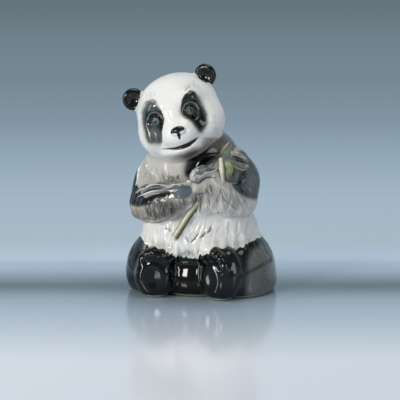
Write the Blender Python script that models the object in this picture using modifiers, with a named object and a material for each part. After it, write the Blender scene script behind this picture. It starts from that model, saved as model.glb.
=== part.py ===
"""Seated panda figurine holding a sprig of bamboo: one slip-cast, glazed porcelain piece.

The figure faces -Y and stands on Z = 0, with the origin under the middle of its box. It is
shaped as a modeller would in clay: balls and rolls are pressed together, their joints are
smoothed over to a blend of each one's own width, and fur and features are cut in afterwards.
All lengths in the tables are in units of a 168th of the figure's height.
"""

import math

import bmesh
import bpy
import numpy as np
from mathutils import Euler, Matrix, Vector

FIGURE_HEIGHT = 0.168  # from the table to the tip of the higher ear
UNIT = FIGURE_HEIGHT / 168
MIDDLE = (3.8, -2.4, 0.0)  # the point of the tables that stands at the origin

VOXELS = (2.0, 1.1)  # cell sizes of the rough mesh and of the fine one
SETTLE_STEPS = 5
SETTLE_REACH = 1.5  # the furthest that a vertex moves in one step
TRIANGLES = 9400  # what the finished solid is thinned to
BASE_ROUND = 3.0  # rounding of the rim that the figure stands on
REACH = 5.0  # how far beyond its blend a lump's distance is still worked out

HEAD_CENTRE = Vector((-11.5, -8.0, 134.0))
HEAD_TURN = Euler([math.radians(a) for a in (0.0, -18.5, 6.5)])  # leans to its right
EYES = {-1: (-16.2, -26.0, -0.6), 1: (13.0, -26.0, -0.2)}  # near the face's surface, in the head's own frame
LEAF_THICKNESS = 2.8
STALK_RADIUS = 2.3

# Lumps of clay


def ball(centre, radii, turn=(0, 0, 0), blend=4.0):
    """An ellipsoid, turned by degrees about X, Y and Z."""
    axes = Euler([math.radians(a) for a in turn]).to_matrix()
    return {"kind": "ball", "centre": Vector(centre), "radii": radii, "axes": axes, "blend": blend}


def on_curve(points, share):
    """The point at that share of a smooth curve through the points."""
    line = smooth_line([Vector(p) for p in points], 12)
    return line[round(share * (len(line) - 1))]


def roll(points, radii, blend=3.0, steps=10):
    """A round roll of clay along a smooth curve through the points, its radius changing on the way."""
    line = smooth_line([Vector(p) for p in points], steps)
    thickness = np.interp(np.linspace(0, 1, len(line)), np.linspace(0, 1, len(radii)), radii)
    return {"kind": "roll", "line": line, "thickness": thickness, "blend": blend}


def smooth_line(points, steps):
    """A Catmull-Rom curve through the points."""
    if len(points) == 2:
        return [points[0].lerp(points[1], i / steps) for i in range(steps + 1)]
    ends = [2 * points[0] - points[1]] + points + [2 * points[-1] - points[-2]]
    line = []
    for a, b, c, d in zip(ends, ends[1:], ends[2:], ends[3:]):
        for i in range(steps):
            t = i / steps
            line.append(0.5 * (2 * b + (c - a) * t + (2 * a - 5 * b + 4 * c - d) * t**2
                               + (3 * b - a - 3 * c + d) * t**3))
    return line + [points[-1]]


def leaf(clay, points, width):
    """A pointed leaf lying on the clay along a curve through the points."""
    line = smooth_line(laid(points, clay, [0.3] * len(points)), 5)
    facings = outward(np.array([list(p) for p in line]), clay)
    profile = np.sin(np.pi * np.linspace(0, 1, len(line))**0.8) ** 0.8
    return {"kind": "leaf", "line": line, "half_widths": 0.4 + width / 2 * profile,
            "thickness": LEAF_THICKNESS / 2, "facings": [Vector(f) for f in facings], "blend": 0.8}


def dug(lump):
    """A hollow pressed in by that lump, in place of one added."""
    lump["hollow"] = True
    return lump


def on_head(lump):
    """Carries a lump from the head's own frame to the figure's."""
    turned = HEAD_TURN.to_matrix()
    if lump["kind"] == "ball":
        lump["centre"] = HEAD_CENTRE + turned @ lump["centre"]
        lump["axes"] = turned @ lump["axes"]
    else:
        lump["line"] = [HEAD_CENTRE + turned @ p for p in lump["line"]]
    return lump


def strands(clay, roots, tips, count, lifts):
    """Lines lying on the clay side by side, each from a point of one curve to its fellow on the other."""
    guides = []
    for i in range(count):
        share = (i + 0.5) / count
        root, tip = on_curve(roots, share), on_curve(tips, share)
        tip = tip.lerp(root, 0.25 * (i % 2))  # every other strand is shorter
        guides += [root, root.lerp(tip, 0.5), tip]
    line = laid(guides, clay, lifts * count)
    return [line[3 * i:3 * i + 3] for i in range(count)]


def locks(clay, roots, tips, count, radius):
    """A row of pointed fur locks standing a little proud."""
    lines = strands(clay, roots, tips, count, [-0.9 * radius, -0.45 * radius, 0])
    return [roll(line, [0.8 * radius, radius, 0.9 * radius, 0.3 * radius], blend=0.6 * radius, steps=3)
            for line in lines]


def furrows(clay, roots, tips, count, radius):
    """A row of tapering cuts between strands of fur."""
    lines = strands(clay, roots, tips, count, [0.5 * radius, 0.2 * radius, 0.5 * radius])
    return [dug(roll(line, [0.4 * radius, radius, radius, 0.3 * radius], blend=0.5 * radius, steps=3))
            for line in lines]


def body_clay():
    return [
        ball((3.5, 4, 32), (44, 36, 34), blend=10),  # seat and lower belly
        ball((3.5, 2, 10), (42, 37, 20), blend=6),  # seat where it rests
        ball((4.5, -3, 47), (40.5, 34, 29), blend=12),  # belly
        ball((0, 4, 80), (37, 30, 33), blend=14),  # chest
        ball((-4, 3, 105), (31, 26, 18), blend=14),  # neck ruff
        ball((3, 39, 20), (9, 8, 8), blend=5),  # tail
        ball((3, -22, 12), (18, 13, 17), blend=5),  # fur between the feet
        ball((9, -29, 71), (13, 12, 14), blend=4),  # fur between the forearms
        ball((23, -25, 91), (15, 15, 12), blend=5),  # fur behind the raised paw
    ]


def left_leg():
    """Folded hind leg: thigh at the side, shin forward, sole towards the front."""
    toes = [(-31, -36, 28), (-27, -38, 31.5), (-22, -38.5, 32.5), (-17, -38, 31.5), (-12.5, -36.5, 28)]
    return [
        ball((-30, 2, 15), (21.5, 36, 27), blend=4),
        roll([(-32, -14, 13), (-24, -30, 14)], [15, 14], blend=5),
        ball((-22.5, -34, 17), (14.5, 11, 19.5), turn=(-8, 0, 6), blend=3),
        dug(ball((-22, -50, 14), (9, 8, 12), blend=4)),
    ] + [ball(at, (4, 5.4, 4.8), blend=2.5) for at in toes]


def right_leg():
    """The other leg, its sole turned in."""
    toes = [(14, -34, 31), (18.5, -37, 34.5), (23.5, -40.5, 34.5), (28.5, -43, 31), (31.5, -44, 26)]
    return [
        ball((35.5, 1, 15), (24, 36, 29.5), blend=4),
        ball((37, 1, 7), (22.5, 34, 14), blend=5),
        roll([(38, -12, 14), (30, -29, 14)], [16, 14], blend=5),
        ball((26.5, -34, 18.5), (17.5, 12.5, 21), turn=(-8, 0, -28), blend=3),
        dug(ball((17, -51, 15), (10, 8, 13), turn=(0, 0, -32), blend=4)),
    ] + [ball(at, (4, 5.4, 4.8), blend=2.5) for at in toes]


def left_arm():
    fingers = [roll([(-8, -44, 70 + 5 * i), (-1, -47.5, 71.5 + 5 * i), (5, -45.5, 73 + 5 * i)],
                    [2.6, 3.1, 2.4], blend=2, steps=4) for i in range(3)]
    return [
        roll([(-25, 3, 93), (-32, -3, 81), (-32.5, -13, 65)], [13, 13, 13.5], blend=3),
        roll([(-32.5, -13, 65), (-22, -30, 67), (-7, -40, 74)], [13, 12.5, 10], blend=3),
        ball((-3, -42, 77), (10, 6.5, 8), turn=(0, -18, 0), blend=2),
        ball((-16, -33, 75), (13, 8, 8), blend=4),  # wrist under the leaves
    ] + fingers


def right_arm():
    fingers = [roll([(22, -41, 83 + 5 * i), (14, -45.5, 82.5 + 5 * i), (8, -44, 81 + 5 * i)],
                    [2.6, 3.1, 2.4], blend=2, steps=4) for i in range(3)]
    return [
        roll([(27, 3, 93), (35, -1, 83), (35, -12, 70)], [13.5, 13.5, 13.5], blend=3),
        roll([(35, -12, 70), (28, -29, 74), (17, -38, 86)], [13, 12.5, 9.5], blend=3),
        ball((15, -40, 90), (10, 6, 8), turn=(0, 25, 0), blend=2),
    ] + fingers


def eye_clay(clay, side):
    """An eyeball in a shallow socket, between an upper and a lower lid."""
    skin, under = laid([EYES[side]] * 2, clay, [0, -1])
    out = skin - under
    right = out.cross(Vector((0, 0, -1))).normalized()
    up = out.cross(right)
    lids = [[skin + right * 4.4 * math.cos(turn) + up * high * math.sin(turn) - out * (1.6 - 0.9 * math.sin(turn))
             for turn in np.linspace(0, math.pi, 7)] for high in (3.3, -2.8)]
    return [
        dug(ball(skin + out * 1.2, (6.5, 3.6, 5.2), turn=(0, 0, 25 * side), blend=4)),
        ball(skin - out * 3.2, (3.6, 3.6, 3.6), blend=0.4),
        roll(lids[0], [0.5, 1.0, 0.5], blend=0.8, steps=2),
        roll(lids[1], [0.4, 0.8, 0.4], blend=0.8, steps=2),
    ]


def ear_clay(side):
    x, y, z = 28 * side - 1, 5, 18 - 0.5 * (1 - side)
    turn = (0, 30 * side, -15 * side)
    return [
        ball((x, y, z), (8.4, 4.4, 8.6), turn=turn, blend=2),
        dug(ball((x, y - 4.5, z + 0.3), (5.2, 3.6, 5.4), turn=turn, blend=1.5)),
    ]


def head_clay():
    clay = [
        ball((0, 3, 2), (30.5, 27, 25), blend=4),  # skull
        ball((0, -4, -15), (29, 22, 16), blend=8),  # lower face
        ball((0, -17, -1), (10, 13, 13), blend=8),  # bridge of the nose
        ball((0, -22, -13.5), (15, 15.5, 12), blend=6),  # muzzle
        ball((-1, -16.5, -25.5), (17, 14.5, 7.5), blend=5),  # chin
    ]
    for side in (-1, 1):
        clay += [
            ball((17.5 * side, -4, -11), (14.5, 18, 14), blend=7),  # cheek
            ball((12.5 * side, -17.5, 9.5), (8, 7, 5), turn=(0, 22 * side, 0), blend=8),  # brow
        ]
    face = list(clay)
    for side in (-1, 1):
        clay += eye_clay(face, side) + ear_clay(side)
    mouth = [(-17, -24, -21.4), (-11.5, -28, -22.1), (-6.7, -31, -23.3), (-0.4, -32, -23.5), (4.9, -31, -23.3),
             (9, -29, -22), (12, -27, -20.6)]
    clay.append(dug(roll(laid(mouth, face, [0.2] * 7), [0.4, 0.7, 1.6, 1.7, 1.5, 1.0, 0.6], blend=0.4, steps=3)))
    clay.append(dug(roll(laid([(1, -38, -11), (1, -37, -16)], face, [0.2] * 2), [0.8, 0.8], blend=0.5, steps=3)))
    clay.append(ball(laid([(0.8, -38, -10.4)], face, [-0.6])[0], (5.8, 3.2, 3.6), blend=0.6))  # nose
    return [on_head(lump) for lump in clay]


def bamboo_clay(clay):
    """A sprig held in the paws: its stalk goes into the fur, shows again above, and ends in leaves."""
    stalk = laid([(-7.4, -38, 45), (-1.8, -38, 53.5), (4, -39, 62.5), (12, -40, 75)], clay, [1.2, 1.2, 0.6, -4])
    stem = laid([(28.5, -39, 88), (28, -38, 96), (26, -31, 102)], clay, [0.3, 0.5, 0.5])
    tip = (26, -29, 103)
    leaves = [
        ([(7.5, -46, 87), (-3.5, -46, 86), (-18.5, -35, 82.5), (-29.5, -22, 80), (-36, -22, 77), (-39.5, -23, 73)], 5.5),
        ([(-2, -48, 84.5), (-13, -43, 81.5), (-22, -38, 79), (-29, -35, 76), (-35.5, -30, 72)], 6),
        ([(5, -46, 88.5), (11, -48, 93), (16, -45, 96), (21, -39, 96.5), tip], 10),
        ([tip, (31.5, -8.5, 99), (41, -6, 95.5)], 5),
        ([tip, (36, -26, 97), (40.5, -9, 92.5)], 7.5),
        ([tip, (26, -9.5, 106), (26.5, -3, 110.5)], 7),
        ([tip, (29, -7.5, 102.5), (34, -4, 102)], 3.5),
        ([tip, (31.5, -35, 97), (32.5, -36.5, 88.5)], 6.5),
    ]
    rods = [roll(stalk, [STALK_RADIUS], blend=0.8), roll(stem, [1.6, STALK_RADIUS, 1.8], blend=0.8)]
    return rods + [leaf(clay, points, width) for points, width in leaves]


def fur_clay(clay):
    """Hanging fur where the coat ends over arms and thighs, and cuts through the broad parts."""
    fringes = [
        ([(-41, -20, 68), (-25, -40, 70), (-7, -46, 71)], [(-44, -18, 54), (-27, -37, 54), (-8, -42, 57)], 7, 3.6),
        ([(12, -44, 78), (27, -38, 74), (43, -20, 72)], [(11, -42, 64), (26, -36, 61), (46, -16, 57)], 7, 3.6),
        ([(-34, -20, 44), (-14, -36, 43), (6, -40, 42), (26, -35, 44), (43, -16, 46)],
         [(-38, -24, 34), (-16, -38, 31), (4, -40, 30), (22, -38, 34), (48, -22, 36)], 12, 4.0),
    ]
    cuts = [
        ([(-44, -14, 70), (-30, -36, 69), (-14, -44, 68)], [(-44, -14, 58), (-29, -38, 58), (-12, -42, 60)], 6, 1.2),
        ([(16, -44, 80), (28, -36, 82), (44, -14, 84)], [(14, -42, 68), (27, -38, 64), (46, -12, 62)], 6, 1.2),
        ([(-36, -4, 98), (-26, -16, 96)], [(-44, -6, 84), (-36, -20, 82)], 3, 1.3),
        ([(32, -14, 98), (40, 0, 98)], [(40, -18, 84), (48, -4, 84)], 3, 1.3),
        ([(-22, -33, 56), (2, -38, 57), (26, -34, 58), (40, -18, 58)],
         [(-25, -36, 45), (-3, -40, 44), (20, -38, 46), (38, -22, 46)], 9, 1.2),
        ([(40, -22, 42), (54, -2, 40)], [(48, -26, 28), (60, -4, 26)], 3, 1.3),
        ([(-44, -20, 36), (-50, -2, 36)], [(-46, -22, 24), (-54, -4, 22)], 3, 1.3),
        ([(-22, 30, 90), (24, 30, 90)], [(-28, 34, 74), (30, 34, 74)], 6, 1.5),
        ([(-20, 32, 66), (26, 32, 66)], [(-22, 38, 48), (30, 38, 48)], 6, 1.5),
    ]
    crease = laid([(44, -30, 16.5), (54, -18, 22), (60, -4, 25)], clay, [0.3] * 3)
    fur = [dug(roll(crease, [0.4, 1.2, 0.4], blend=0.6, steps=4))]
    for row in fringes:
        fur += locks(clay, *row)
    for row in cuts:
        fur += furrows(clay + fur, *row)
    return fur


def all_clay():
    clay = body_clay() + head_clay() + left_leg() + right_leg() + left_arm() + right_arm()
    return clay + fur_clay(clay) + bamboo_clay(clay)


# Distance from a point to the pressed-together clay


def lump_distance(points, lump):
    if lump["kind"] == "ball":
        local = (points - np.array(lump["centre"])) @ np.array(lump["axes"])
        radii = np.array(lump["radii"], float)
        near = np.linalg.norm(local / radii, axis=1)
        return near * (near - 1) / np.maximum(np.linalg.norm(local / radii**2, axis=1), 1e-9)
    found = np.full(len(points), np.inf)
    line = np.array([list(p) for p in lump["line"]])
    if lump["kind"] == "leaf":
        return leaf_distance(points, line, lump)
    for a, b, ra, rb in zip(line, line[1:], lump["thickness"], lump["thickness"][1:]):
        along = b - a
        t = np.clip((points - a) @ along / (along @ along), 0, 1)
        gap = np.linalg.norm(points - a - t[:, None] * along, axis=1) - (ra + (rb - ra) * t)
        found = np.minimum(found, gap)
    return found


def leaf_distance(points, line, lump):
    """The distance to a leaf, whose section is a flat ellipse across its line."""
    found = np.full(len(points), np.inf)
    thin = lump["thickness"]
    for a, b, wa, wb, facing in zip(line, line[1:], lump["half_widths"], lump["half_widths"][1:], lump["facings"]):
        along = b - a
        length = np.linalg.norm(along)
        across = np.cross(along / length, facing)
        across /= np.linalg.norm(across)
        face = np.cross(across, along / length)
        free = (points - a) @ along / length**2
        t = np.clip(free, 0, 1)
        offset = points - a - t[:, None] * along
        wide = wa + (wb - wa) * t
        past = offset @ along / length
        side, up = offset @ across, offset @ face
        near = np.sqrt((side / wide) ** 2 + (up / thin) ** 2 + (past / thin) ** 2)
        slope = np.sqrt((side / wide**2) ** 2 + (up / thin**2) ** 2 + (past / thin**2) ** 2)
        found = np.minimum(found, near * (near - 1) / np.maximum(slope, 1e-9))
    return found


def blended(a, b, width):
    """The smaller of two distances, with the corner between them rounded over the width."""
    corner = np.maximum(width - np.abs(a - b), 0) / width
    return np.minimum(a, b) - corner**2 * width / 4


def within_reach(points, lump):
    """Which of the points are near enough to that lump for it to matter."""
    if lump["kind"] == "ball":
        middle, size = np.array(lump["centre"]), max(lump["radii"])
        low, high = middle - size, middle + size
    else:
        line = np.array([list(p) for p in lump["line"]])
        size = max(lump["half_widths" if lump["kind"] == "leaf" else "thickness"])
        low, high = line.min(axis=0) - size, line.max(axis=0) + size
    reach = lump["blend"] + REACH
    return np.flatnonzero(np.all((points > low - reach) & (points < high + reach), axis=1))


def form_distance(points, clay):
    """How far each point is outside the blended clay."""
    found = np.full(len(points), 4 * REACH)
    for lump in clay:
        near = within_reach(points, lump)
        gap = lump_distance(points[near], lump)
        if lump.get("hollow"):
            found[near] = -blended(-found[near], gap, lump["blend"])
        else:
            found[near] = blended(found[near], gap, lump["blend"])
    return found


def outward(points, clay):
    """The direction straight out of the form at each point."""
    step = 0.2
    slope = np.stack([form_distance(points + step * axis, clay) - form_distance(points - step * axis, clay)
                      for axis in np.eye(3)], axis=1)
    return slope / np.linalg.norm(slope, axis=1, keepdims=True)


def laid(points, clay, lifts):
    """The points brought on to the form's surface, each then raised off it by its lift."""
    found = np.array([list(p) for p in points], float)
    for _ in range(5):
        found = found - form_distance(found, clay)[:, None] * outward(found, clay)
    found = found + outward(found, clay) * np.array(lifts, float)[:, None]
    return [Vector(p) for p in found]


# Blender meshes


def clear_scene():
    for obj in list(bpy.data.objects):
        bpy.data.objects.remove(obj)


def lump_mesh(lump):
    """One lump of clay as its own closed mesh, in units."""
    bm = bmesh.new()
    if lump["kind"] == "ball":
        bmesh.ops.create_uvsphere(bm, u_segments=24, v_segments=16, radius=1)
        axes = np.array(lump["axes"])
        for vert in bm.verts:
            vert.co = Vector(axes @ (np.array(vert.co) * lump["radii"])) + lump["centre"]
    elif lump["kind"] == "roll":
        for centre, radius in zip(lump["line"], lump["thickness"]):
            made = bmesh.ops.create_uvsphere(bm, u_segments=16, v_segments=10, radius=radius)
            bmesh.ops.translate(bm, verts=made["verts"], vec=centre)
    else:
        line = lump["line"]
        for i, (centre, half_width) in enumerate(zip(line, lump["half_widths"])):
            along = (line[min(i + 1, len(line) - 1)] - line[max(i - 1, 0)]).normalized()
            across = along.cross(lump["facings"][i]).normalized()
            spin = Matrix((across, along, across.cross(along))).transposed().to_4x4()
            flat = Matrix.Diagonal((half_width, 2.0, lump["thickness"], 1))
            made = bmesh.ops.create_uvsphere(bm, u_segments=16, v_segments=10, radius=1,
                                             matrix=Matrix.Translation(centre) @ spin @ flat)
    mesh = bpy.data.meshes.new("lump")
    bm.to_mesh(mesh)
    bm.free()
    return mesh


def pressed_clay(clay):
    """All lumps fused into one closed mesh, cut off flat where it stands and settled on the form."""
    bm = bmesh.new()
    for lump in clay:
        if not lump.get("hollow"):
            mesh = lump_mesh(lump)
            bm.from_mesh(mesh)
            bpy.data.meshes.remove(mesh)
    loose = bpy.data.meshes.new("loose_clay")
    bm.to_mesh(loose)
    bm.free()
    mesh = modified(loose, "REMESH", mode="VOXEL", voxel_size=VOXELS[0])
    cut_base(mesh)
    for voxel in VOXELS:
        mesh = modified(mesh, "REMESH", mode="VOXEL", voxel_size=voxel)
        settle(mesh, clay)
    return mesh


def keep_largest(mesh):
    """Keeps the outside, the largest surface joined edge to edge, and drops closed pockets and crumbs."""
    bm = bmesh.new()
    bm.from_mesh(mesh)
    waiting = set(bm.faces)
    surfaces = []
    while waiting:
        reached = [waiting.pop()]
        for face in reached:
            seams = [edge for edge in face.edges if len(edge.link_faces) == 2]
            beside = {other for edge in seams for other in edge.link_faces} & waiting
            waiting -= beside
            reached += beside
        surfaces.append(reached)
    surfaces.sort(key=len)
    inner = [face for surface in surfaces[:-1] for face in surface]
    bmesh.ops.delete(bm, geom=inner, context="FACES")
    bm.to_mesh(mesh)
    bm.free()


def modified(mesh, kind, **settings):
    """The mesh as that modifier leaves it."""
    obj = bpy.data.objects.new("rough", mesh)
    bpy.context.scene.collection.objects.link(obj)
    modifier = obj.modifiers.new(kind.title(), kind)
    for name, value in settings.items():
        setattr(modifier, name, value)
    graph = bpy.context.evaluated_depsgraph_get()
    result = bpy.data.meshes.new_from_object(obj.evaluated_get(graph))
    bpy.data.objects.remove(obj)
    bpy.data.meshes.remove(mesh)
    return result


def coordinates(mesh):
    values = np.empty(len(mesh.vertices) * 3)
    mesh.vertices.foreach_get("co", values)
    return values.reshape(-1, 3)


def set_coordinates(mesh, points):
    mesh.vertices.foreach_set("co", points.ravel())
    mesh.update()


def normals(mesh):
    values = np.empty(len(mesh.vertices) * 3, np.float32)
    mesh.vertex_normals.foreach_get("vector", values)
    return values.reshape(-1, 3).astype(float)


def edge_ends(mesh):
    ends = np.empty(len(mesh.edges) * 2, np.int64)
    mesh.edges.foreach_get("vertices", ends)
    return ends.reshape(-1, 2)


def relaxed(points, ends):
    """Each point at the mean of its neighbours."""
    total = np.zeros_like(points)
    count = np.zeros(len(points))
    for a, b in (ends.T, ends.T[::-1]):
        for axis in range(3):
            total[:, axis] += np.bincount(a, weights=points[b, axis], minlength=len(points))
        count += np.bincount(a, minlength=len(points))
    return total / count[:, None]


def settle(mesh, clay):
    """Moves every vertex on to the blended form above its foot, easing the mesh along the surface as it goes."""
    ends = edge_ends(mesh)
    for step in range(SETTLE_STEPS):
        points = coordinates(mesh)
        points += 0.5 * (relaxed(points, ends) - points)
        set_coordinates(mesh, points)
        gap = -blended(-form_distance(points, clay), points[:, 2], BASE_ROUND)
        points -= np.clip(gap, -SETTLE_REACH, SETTLE_REACH)[:, None] * normals(mesh)
        set_coordinates(mesh, points)
    set_coordinates(mesh, points + 0.3 * (relaxed(points, ends) - points))


def cut_base(mesh):
    """Cuts the figure off flat where it stands."""
    bm = bmesh.new()
    bm.from_mesh(mesh)
    everything = bm.verts[:] + bm.edges[:] + bm.faces[:]
    bmesh.ops.bisect_plane(bm, geom=everything, plane_co=(0, 0, 0), plane_no=(0, 0, -1), clear_outer=True)
    rim = [edge for edge in bm.edges if edge.is_boundary]
    bmesh.ops.holes_fill(bm, edges=rim, sides=0)
    bmesh.ops.recalc_face_normals(bm, faces=bm.faces[:])
    bm.to_mesh(mesh)
    bm.free()


def thinned(mesh):
    """The mesh with only the triangles that its form needs, its foot left level."""
    mesh.calc_loop_triangles()
    thin = modified(mesh, "DECIMATE", ratio=TRIANGLES / len(mesh.loop_triangles))
    bm = bmesh.new()
    bm.from_mesh(thin)
    for vert in bm.verts:
        if vert.co.z < 0.25:
            vert.co.z = 0
    bmesh.ops.triangulate(bm, faces=bm.faces[:])
    bm.to_mesh(thin)
    bm.free()
    return thin


def porcelain():
    material = bpy.data.materials.new("glazed_porcelain")
    material.use_nodes = True
    shader = material.node_tree.nodes["Principled BSDF"]
    shader.inputs["Base Color"].default_value = (0.80, 0.80, 0.77, 1)
    shader.inputs["Roughness"].default_value = 0.12
    shader.inputs["Metallic"].default_value = 0.0
    return material


def build():
    clear_scene()
    clay = all_clay()
    mesh = thinned(pressed_clay(clay))
    keep_largest(mesh)
    set_coordinates(mesh, (coordinates(mesh) - MIDDLE) * UNIT)
    mesh.name = "panda"
    mesh.materials.append(porcelain())
    figure = bpy.data.objects.new("panda", mesh)
    shelf = bpy.data.collections.new("panda_figurine")
    bpy.context.scene.collection.children.link(shelf)
    shelf.objects.link(figure)


build()
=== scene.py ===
# Glazed porcelain panda with a sprig of bamboo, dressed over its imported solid.
# Tables are in units of a 168th of the figure's height, which are millimetres here.

import math
import bpy
import numpy as np
from mathutils import Euler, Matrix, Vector


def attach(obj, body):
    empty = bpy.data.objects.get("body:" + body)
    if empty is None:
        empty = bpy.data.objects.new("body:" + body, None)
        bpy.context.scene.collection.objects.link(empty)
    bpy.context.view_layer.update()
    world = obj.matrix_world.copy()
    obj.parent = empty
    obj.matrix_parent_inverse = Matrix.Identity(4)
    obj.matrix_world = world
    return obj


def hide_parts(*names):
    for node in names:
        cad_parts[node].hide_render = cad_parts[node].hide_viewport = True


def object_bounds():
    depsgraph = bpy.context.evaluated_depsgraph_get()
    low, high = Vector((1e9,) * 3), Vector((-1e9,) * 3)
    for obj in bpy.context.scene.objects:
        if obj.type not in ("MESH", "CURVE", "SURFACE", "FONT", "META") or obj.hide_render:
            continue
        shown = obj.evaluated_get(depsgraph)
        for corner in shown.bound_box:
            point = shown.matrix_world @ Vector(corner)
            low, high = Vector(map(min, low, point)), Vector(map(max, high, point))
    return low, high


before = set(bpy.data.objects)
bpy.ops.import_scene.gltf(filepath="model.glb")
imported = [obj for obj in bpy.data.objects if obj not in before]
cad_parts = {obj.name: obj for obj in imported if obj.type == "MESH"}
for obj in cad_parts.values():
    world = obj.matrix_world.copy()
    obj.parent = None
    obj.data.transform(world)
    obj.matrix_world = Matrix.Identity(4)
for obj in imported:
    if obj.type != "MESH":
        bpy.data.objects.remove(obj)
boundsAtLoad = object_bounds()
print("frame loaded")

unit = 0.001  # one table unit in metres
middle = np.array((3.8, -2.4, 0.0))  # the point of the tables that stands at the origin
headCentre = Vector((-11.5, -8.0, 134.0))
headTurn = Euler([math.radians(a) for a in (0.0, -18.5, 6.5)])  # leans to its right
eyeSpots = {-1: (-16.2, -26.0, -0.6), 1: (13.0, -26.0, -0.2)}  # by side, in the head's own frame
noseSpot = (0.8, -38, -10.4)
leafThickness = 2.8
stalkRadius = 2.3
footRound = 3.0  # rounding of the rim that the figure stands on
lumpReach = 5.0  # how far beyond its blend a lump's distance is still worked out
settleSteps = 3
settleReach = 0.8  # the furthest that a vertex moves in one step


# small tools


def asArray(vectors):
    return np.array([list(v) for v in vectors], float)


def unitRows(vectors):
    return vectors / np.linalg.norm(vectors, axis=1, keepdims=True)


def within(points, low, high):
    # which points lie inside the box between those two corners
    return np.all((points > low) & (points < high), axis=1)


def alongLine(line, shares):
    # the places at those shares of the way along a polyline
    knots = np.linspace(0, 1, len(line))
    return np.stack([np.interp(shares, knots, line[:, i]) for i in range(3)], axis=1)


# lumps of clay, the same as in the solid


def ball(centre, radii, turn=(0, 0, 0), blend=4.0):
    # an ellipsoid, turned by degrees about X, Y and Z
    axes = Euler([math.radians(a) for a in turn]).to_matrix()
    return {"kind": "ball", "centre": Vector(centre), "radii": radii, "axes": axes, "blend": blend}


def onCurve(points, share):
    # the point at that share of a smooth curve through the points
    line = smoothLine([Vector(p) for p in points], 12)
    return line[round(share * (len(line) - 1))]


def roll(points, radii, blend=3.0, steps=10):
    # a round roll of clay along a smooth curve through the points, its radius changing on the way
    line = smoothLine([Vector(p) for p in points], steps)
    thickness = np.interp(np.linspace(0, 1, len(line)), np.linspace(0, 1, len(radii)), radii)
    return {"kind": "roll", "line": line, "thickness": thickness, "blend": blend}


def smoothLine(points, steps):
    # a smooth curve through the points, each stretch shaped by the four points around it
    if len(points) == 2:
        return [points[0].lerp(points[1], i / steps) for i in range(steps + 1)]
    ends = [2 * points[0] - points[1]] + points + [2 * points[-1] - points[-2]]
    line = []
    for a, b, c, d in zip(ends, ends[1:], ends[2:], ends[3:]):
        for i in range(steps):
            t = i / steps
            line.append(0.5 * (2 * b + (c - a) * t + (2 * a - 5 * b + 4 * c - d) * t**2
                               + (3 * b - a - 3 * c + d) * t**3))
    return line + [points[-1]]


def leaf(clay, points, width):
    # a pointed leaf lying on the clay along a curve through the points
    line = smoothLine(laid(points, clay, [0.3] * len(points)), 5)
    facings = outward(asArray(line), clay)
    profile = np.sin(np.pi * np.linspace(0, 1, len(line))**0.8) ** 0.8
    return {"kind": "leaf", "line": line, "halfWidths": 0.4 + width / 2 * profile,
            "thickness": leafThickness / 2, "facings": [Vector(f) for f in facings], "blend": 0.8}


def dug(lump):
    # a hollow pressed in by that lump, in place of one added
    lump["hollow"] = True
    return lump


def onHead(lump):
    # carries a lump from the head's own frame to the figure's
    turned = headTurn.to_matrix()
    if lump["kind"] == "ball":
        lump["centre"] = headCentre + turned @ lump["centre"]
        lump["axes"] = turned @ lump["axes"]
    else:
        lump["line"] = [headCentre + turned @ p for p in lump["line"]]
    return lump


def strands(clay, roots, tips, count, lifts):
    # lines lying on the clay side by side, each from a point of one curve to its fellow on the other
    guides = []
    for i in range(count):
        share = (i + 0.5) / count
        root, tip = onCurve(roots, share), onCurve(tips, share)
        tip = tip.lerp(root, 0.25 * (i % 2))  # every other strand is shorter
        guides += [root, root.lerp(tip, 0.5), tip]
    line = laid(guides, clay, lifts * count)
    return [line[3 * i:3 * i + 3] for i in range(count)]


def locks(clay, roots, tips, count, radius):
    # a row of pointed fur locks standing a little proud
    lines = strands(clay, roots, tips, count, [-0.9 * radius, -0.45 * radius, 0])
    return [roll(line, [0.8 * radius, radius, 0.9 * radius, 0.3 * radius], blend=0.6 * radius, steps=3)
            for line in lines]


def furrows(clay, roots, tips, count, radius):
    # a row of tapering cuts between strands of fur
    lines = strands(clay, roots, tips, count, [0.5 * radius, 0.2 * radius, 0.5 * radius])
    return [dug(roll(line, [0.4 * radius, radius, radius, 0.3 * radius], blend=0.5 * radius, steps=3))
            for line in lines]


def bodyClay():
    return [
        ball((3.5, 4, 32), (44, 36, 34), blend=10),  # seat and lower belly
        ball((3.5, 2, 10), (42, 37, 20), blend=6),  # seat where it rests
        ball((4.5, -3, 47), (40.5, 34, 29), blend=12),  # belly
        ball((0, 4, 80), (37, 30, 33), blend=14),  # chest
        ball((-4, 3, 105), (31, 26, 18), blend=14),  # neck ruff
        ball((3, 39, 20), (9, 8, 8), blend=5),  # tail
        ball((3, -22, 12), (18, 13, 17), blend=5),  # fur between the feet
        ball((9, -29, 71), (13, 12, 14), blend=4),  # fur between the forearms
        ball((23, -25, 91), (15, 15, 12), blend=5),  # fur behind the raised paw
    ]


def leftLeg():
    # folded hind leg: thigh at the side, shin forward, sole towards the front
    toes = [(-31, -36, 28), (-27, -38, 31.5), (-22, -38.5, 32.5), (-17, -38, 31.5), (-12.5, -36.5, 28)]
    return [
        ball((-30, 2, 15), (21.5, 36, 27), blend=4),
        roll([(-32, -14, 13), (-24, -30, 14)], [15, 14], blend=5),
        ball((-22.5, -34, 17), (14.5, 11, 19.5), turn=(-8, 0, 6), blend=3),
        dug(ball((-22, -50, 14), (9, 8, 12), blend=4)),
    ] + [ball(at, (4, 5.4, 4.8), blend=2.5) for at in toes]


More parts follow.
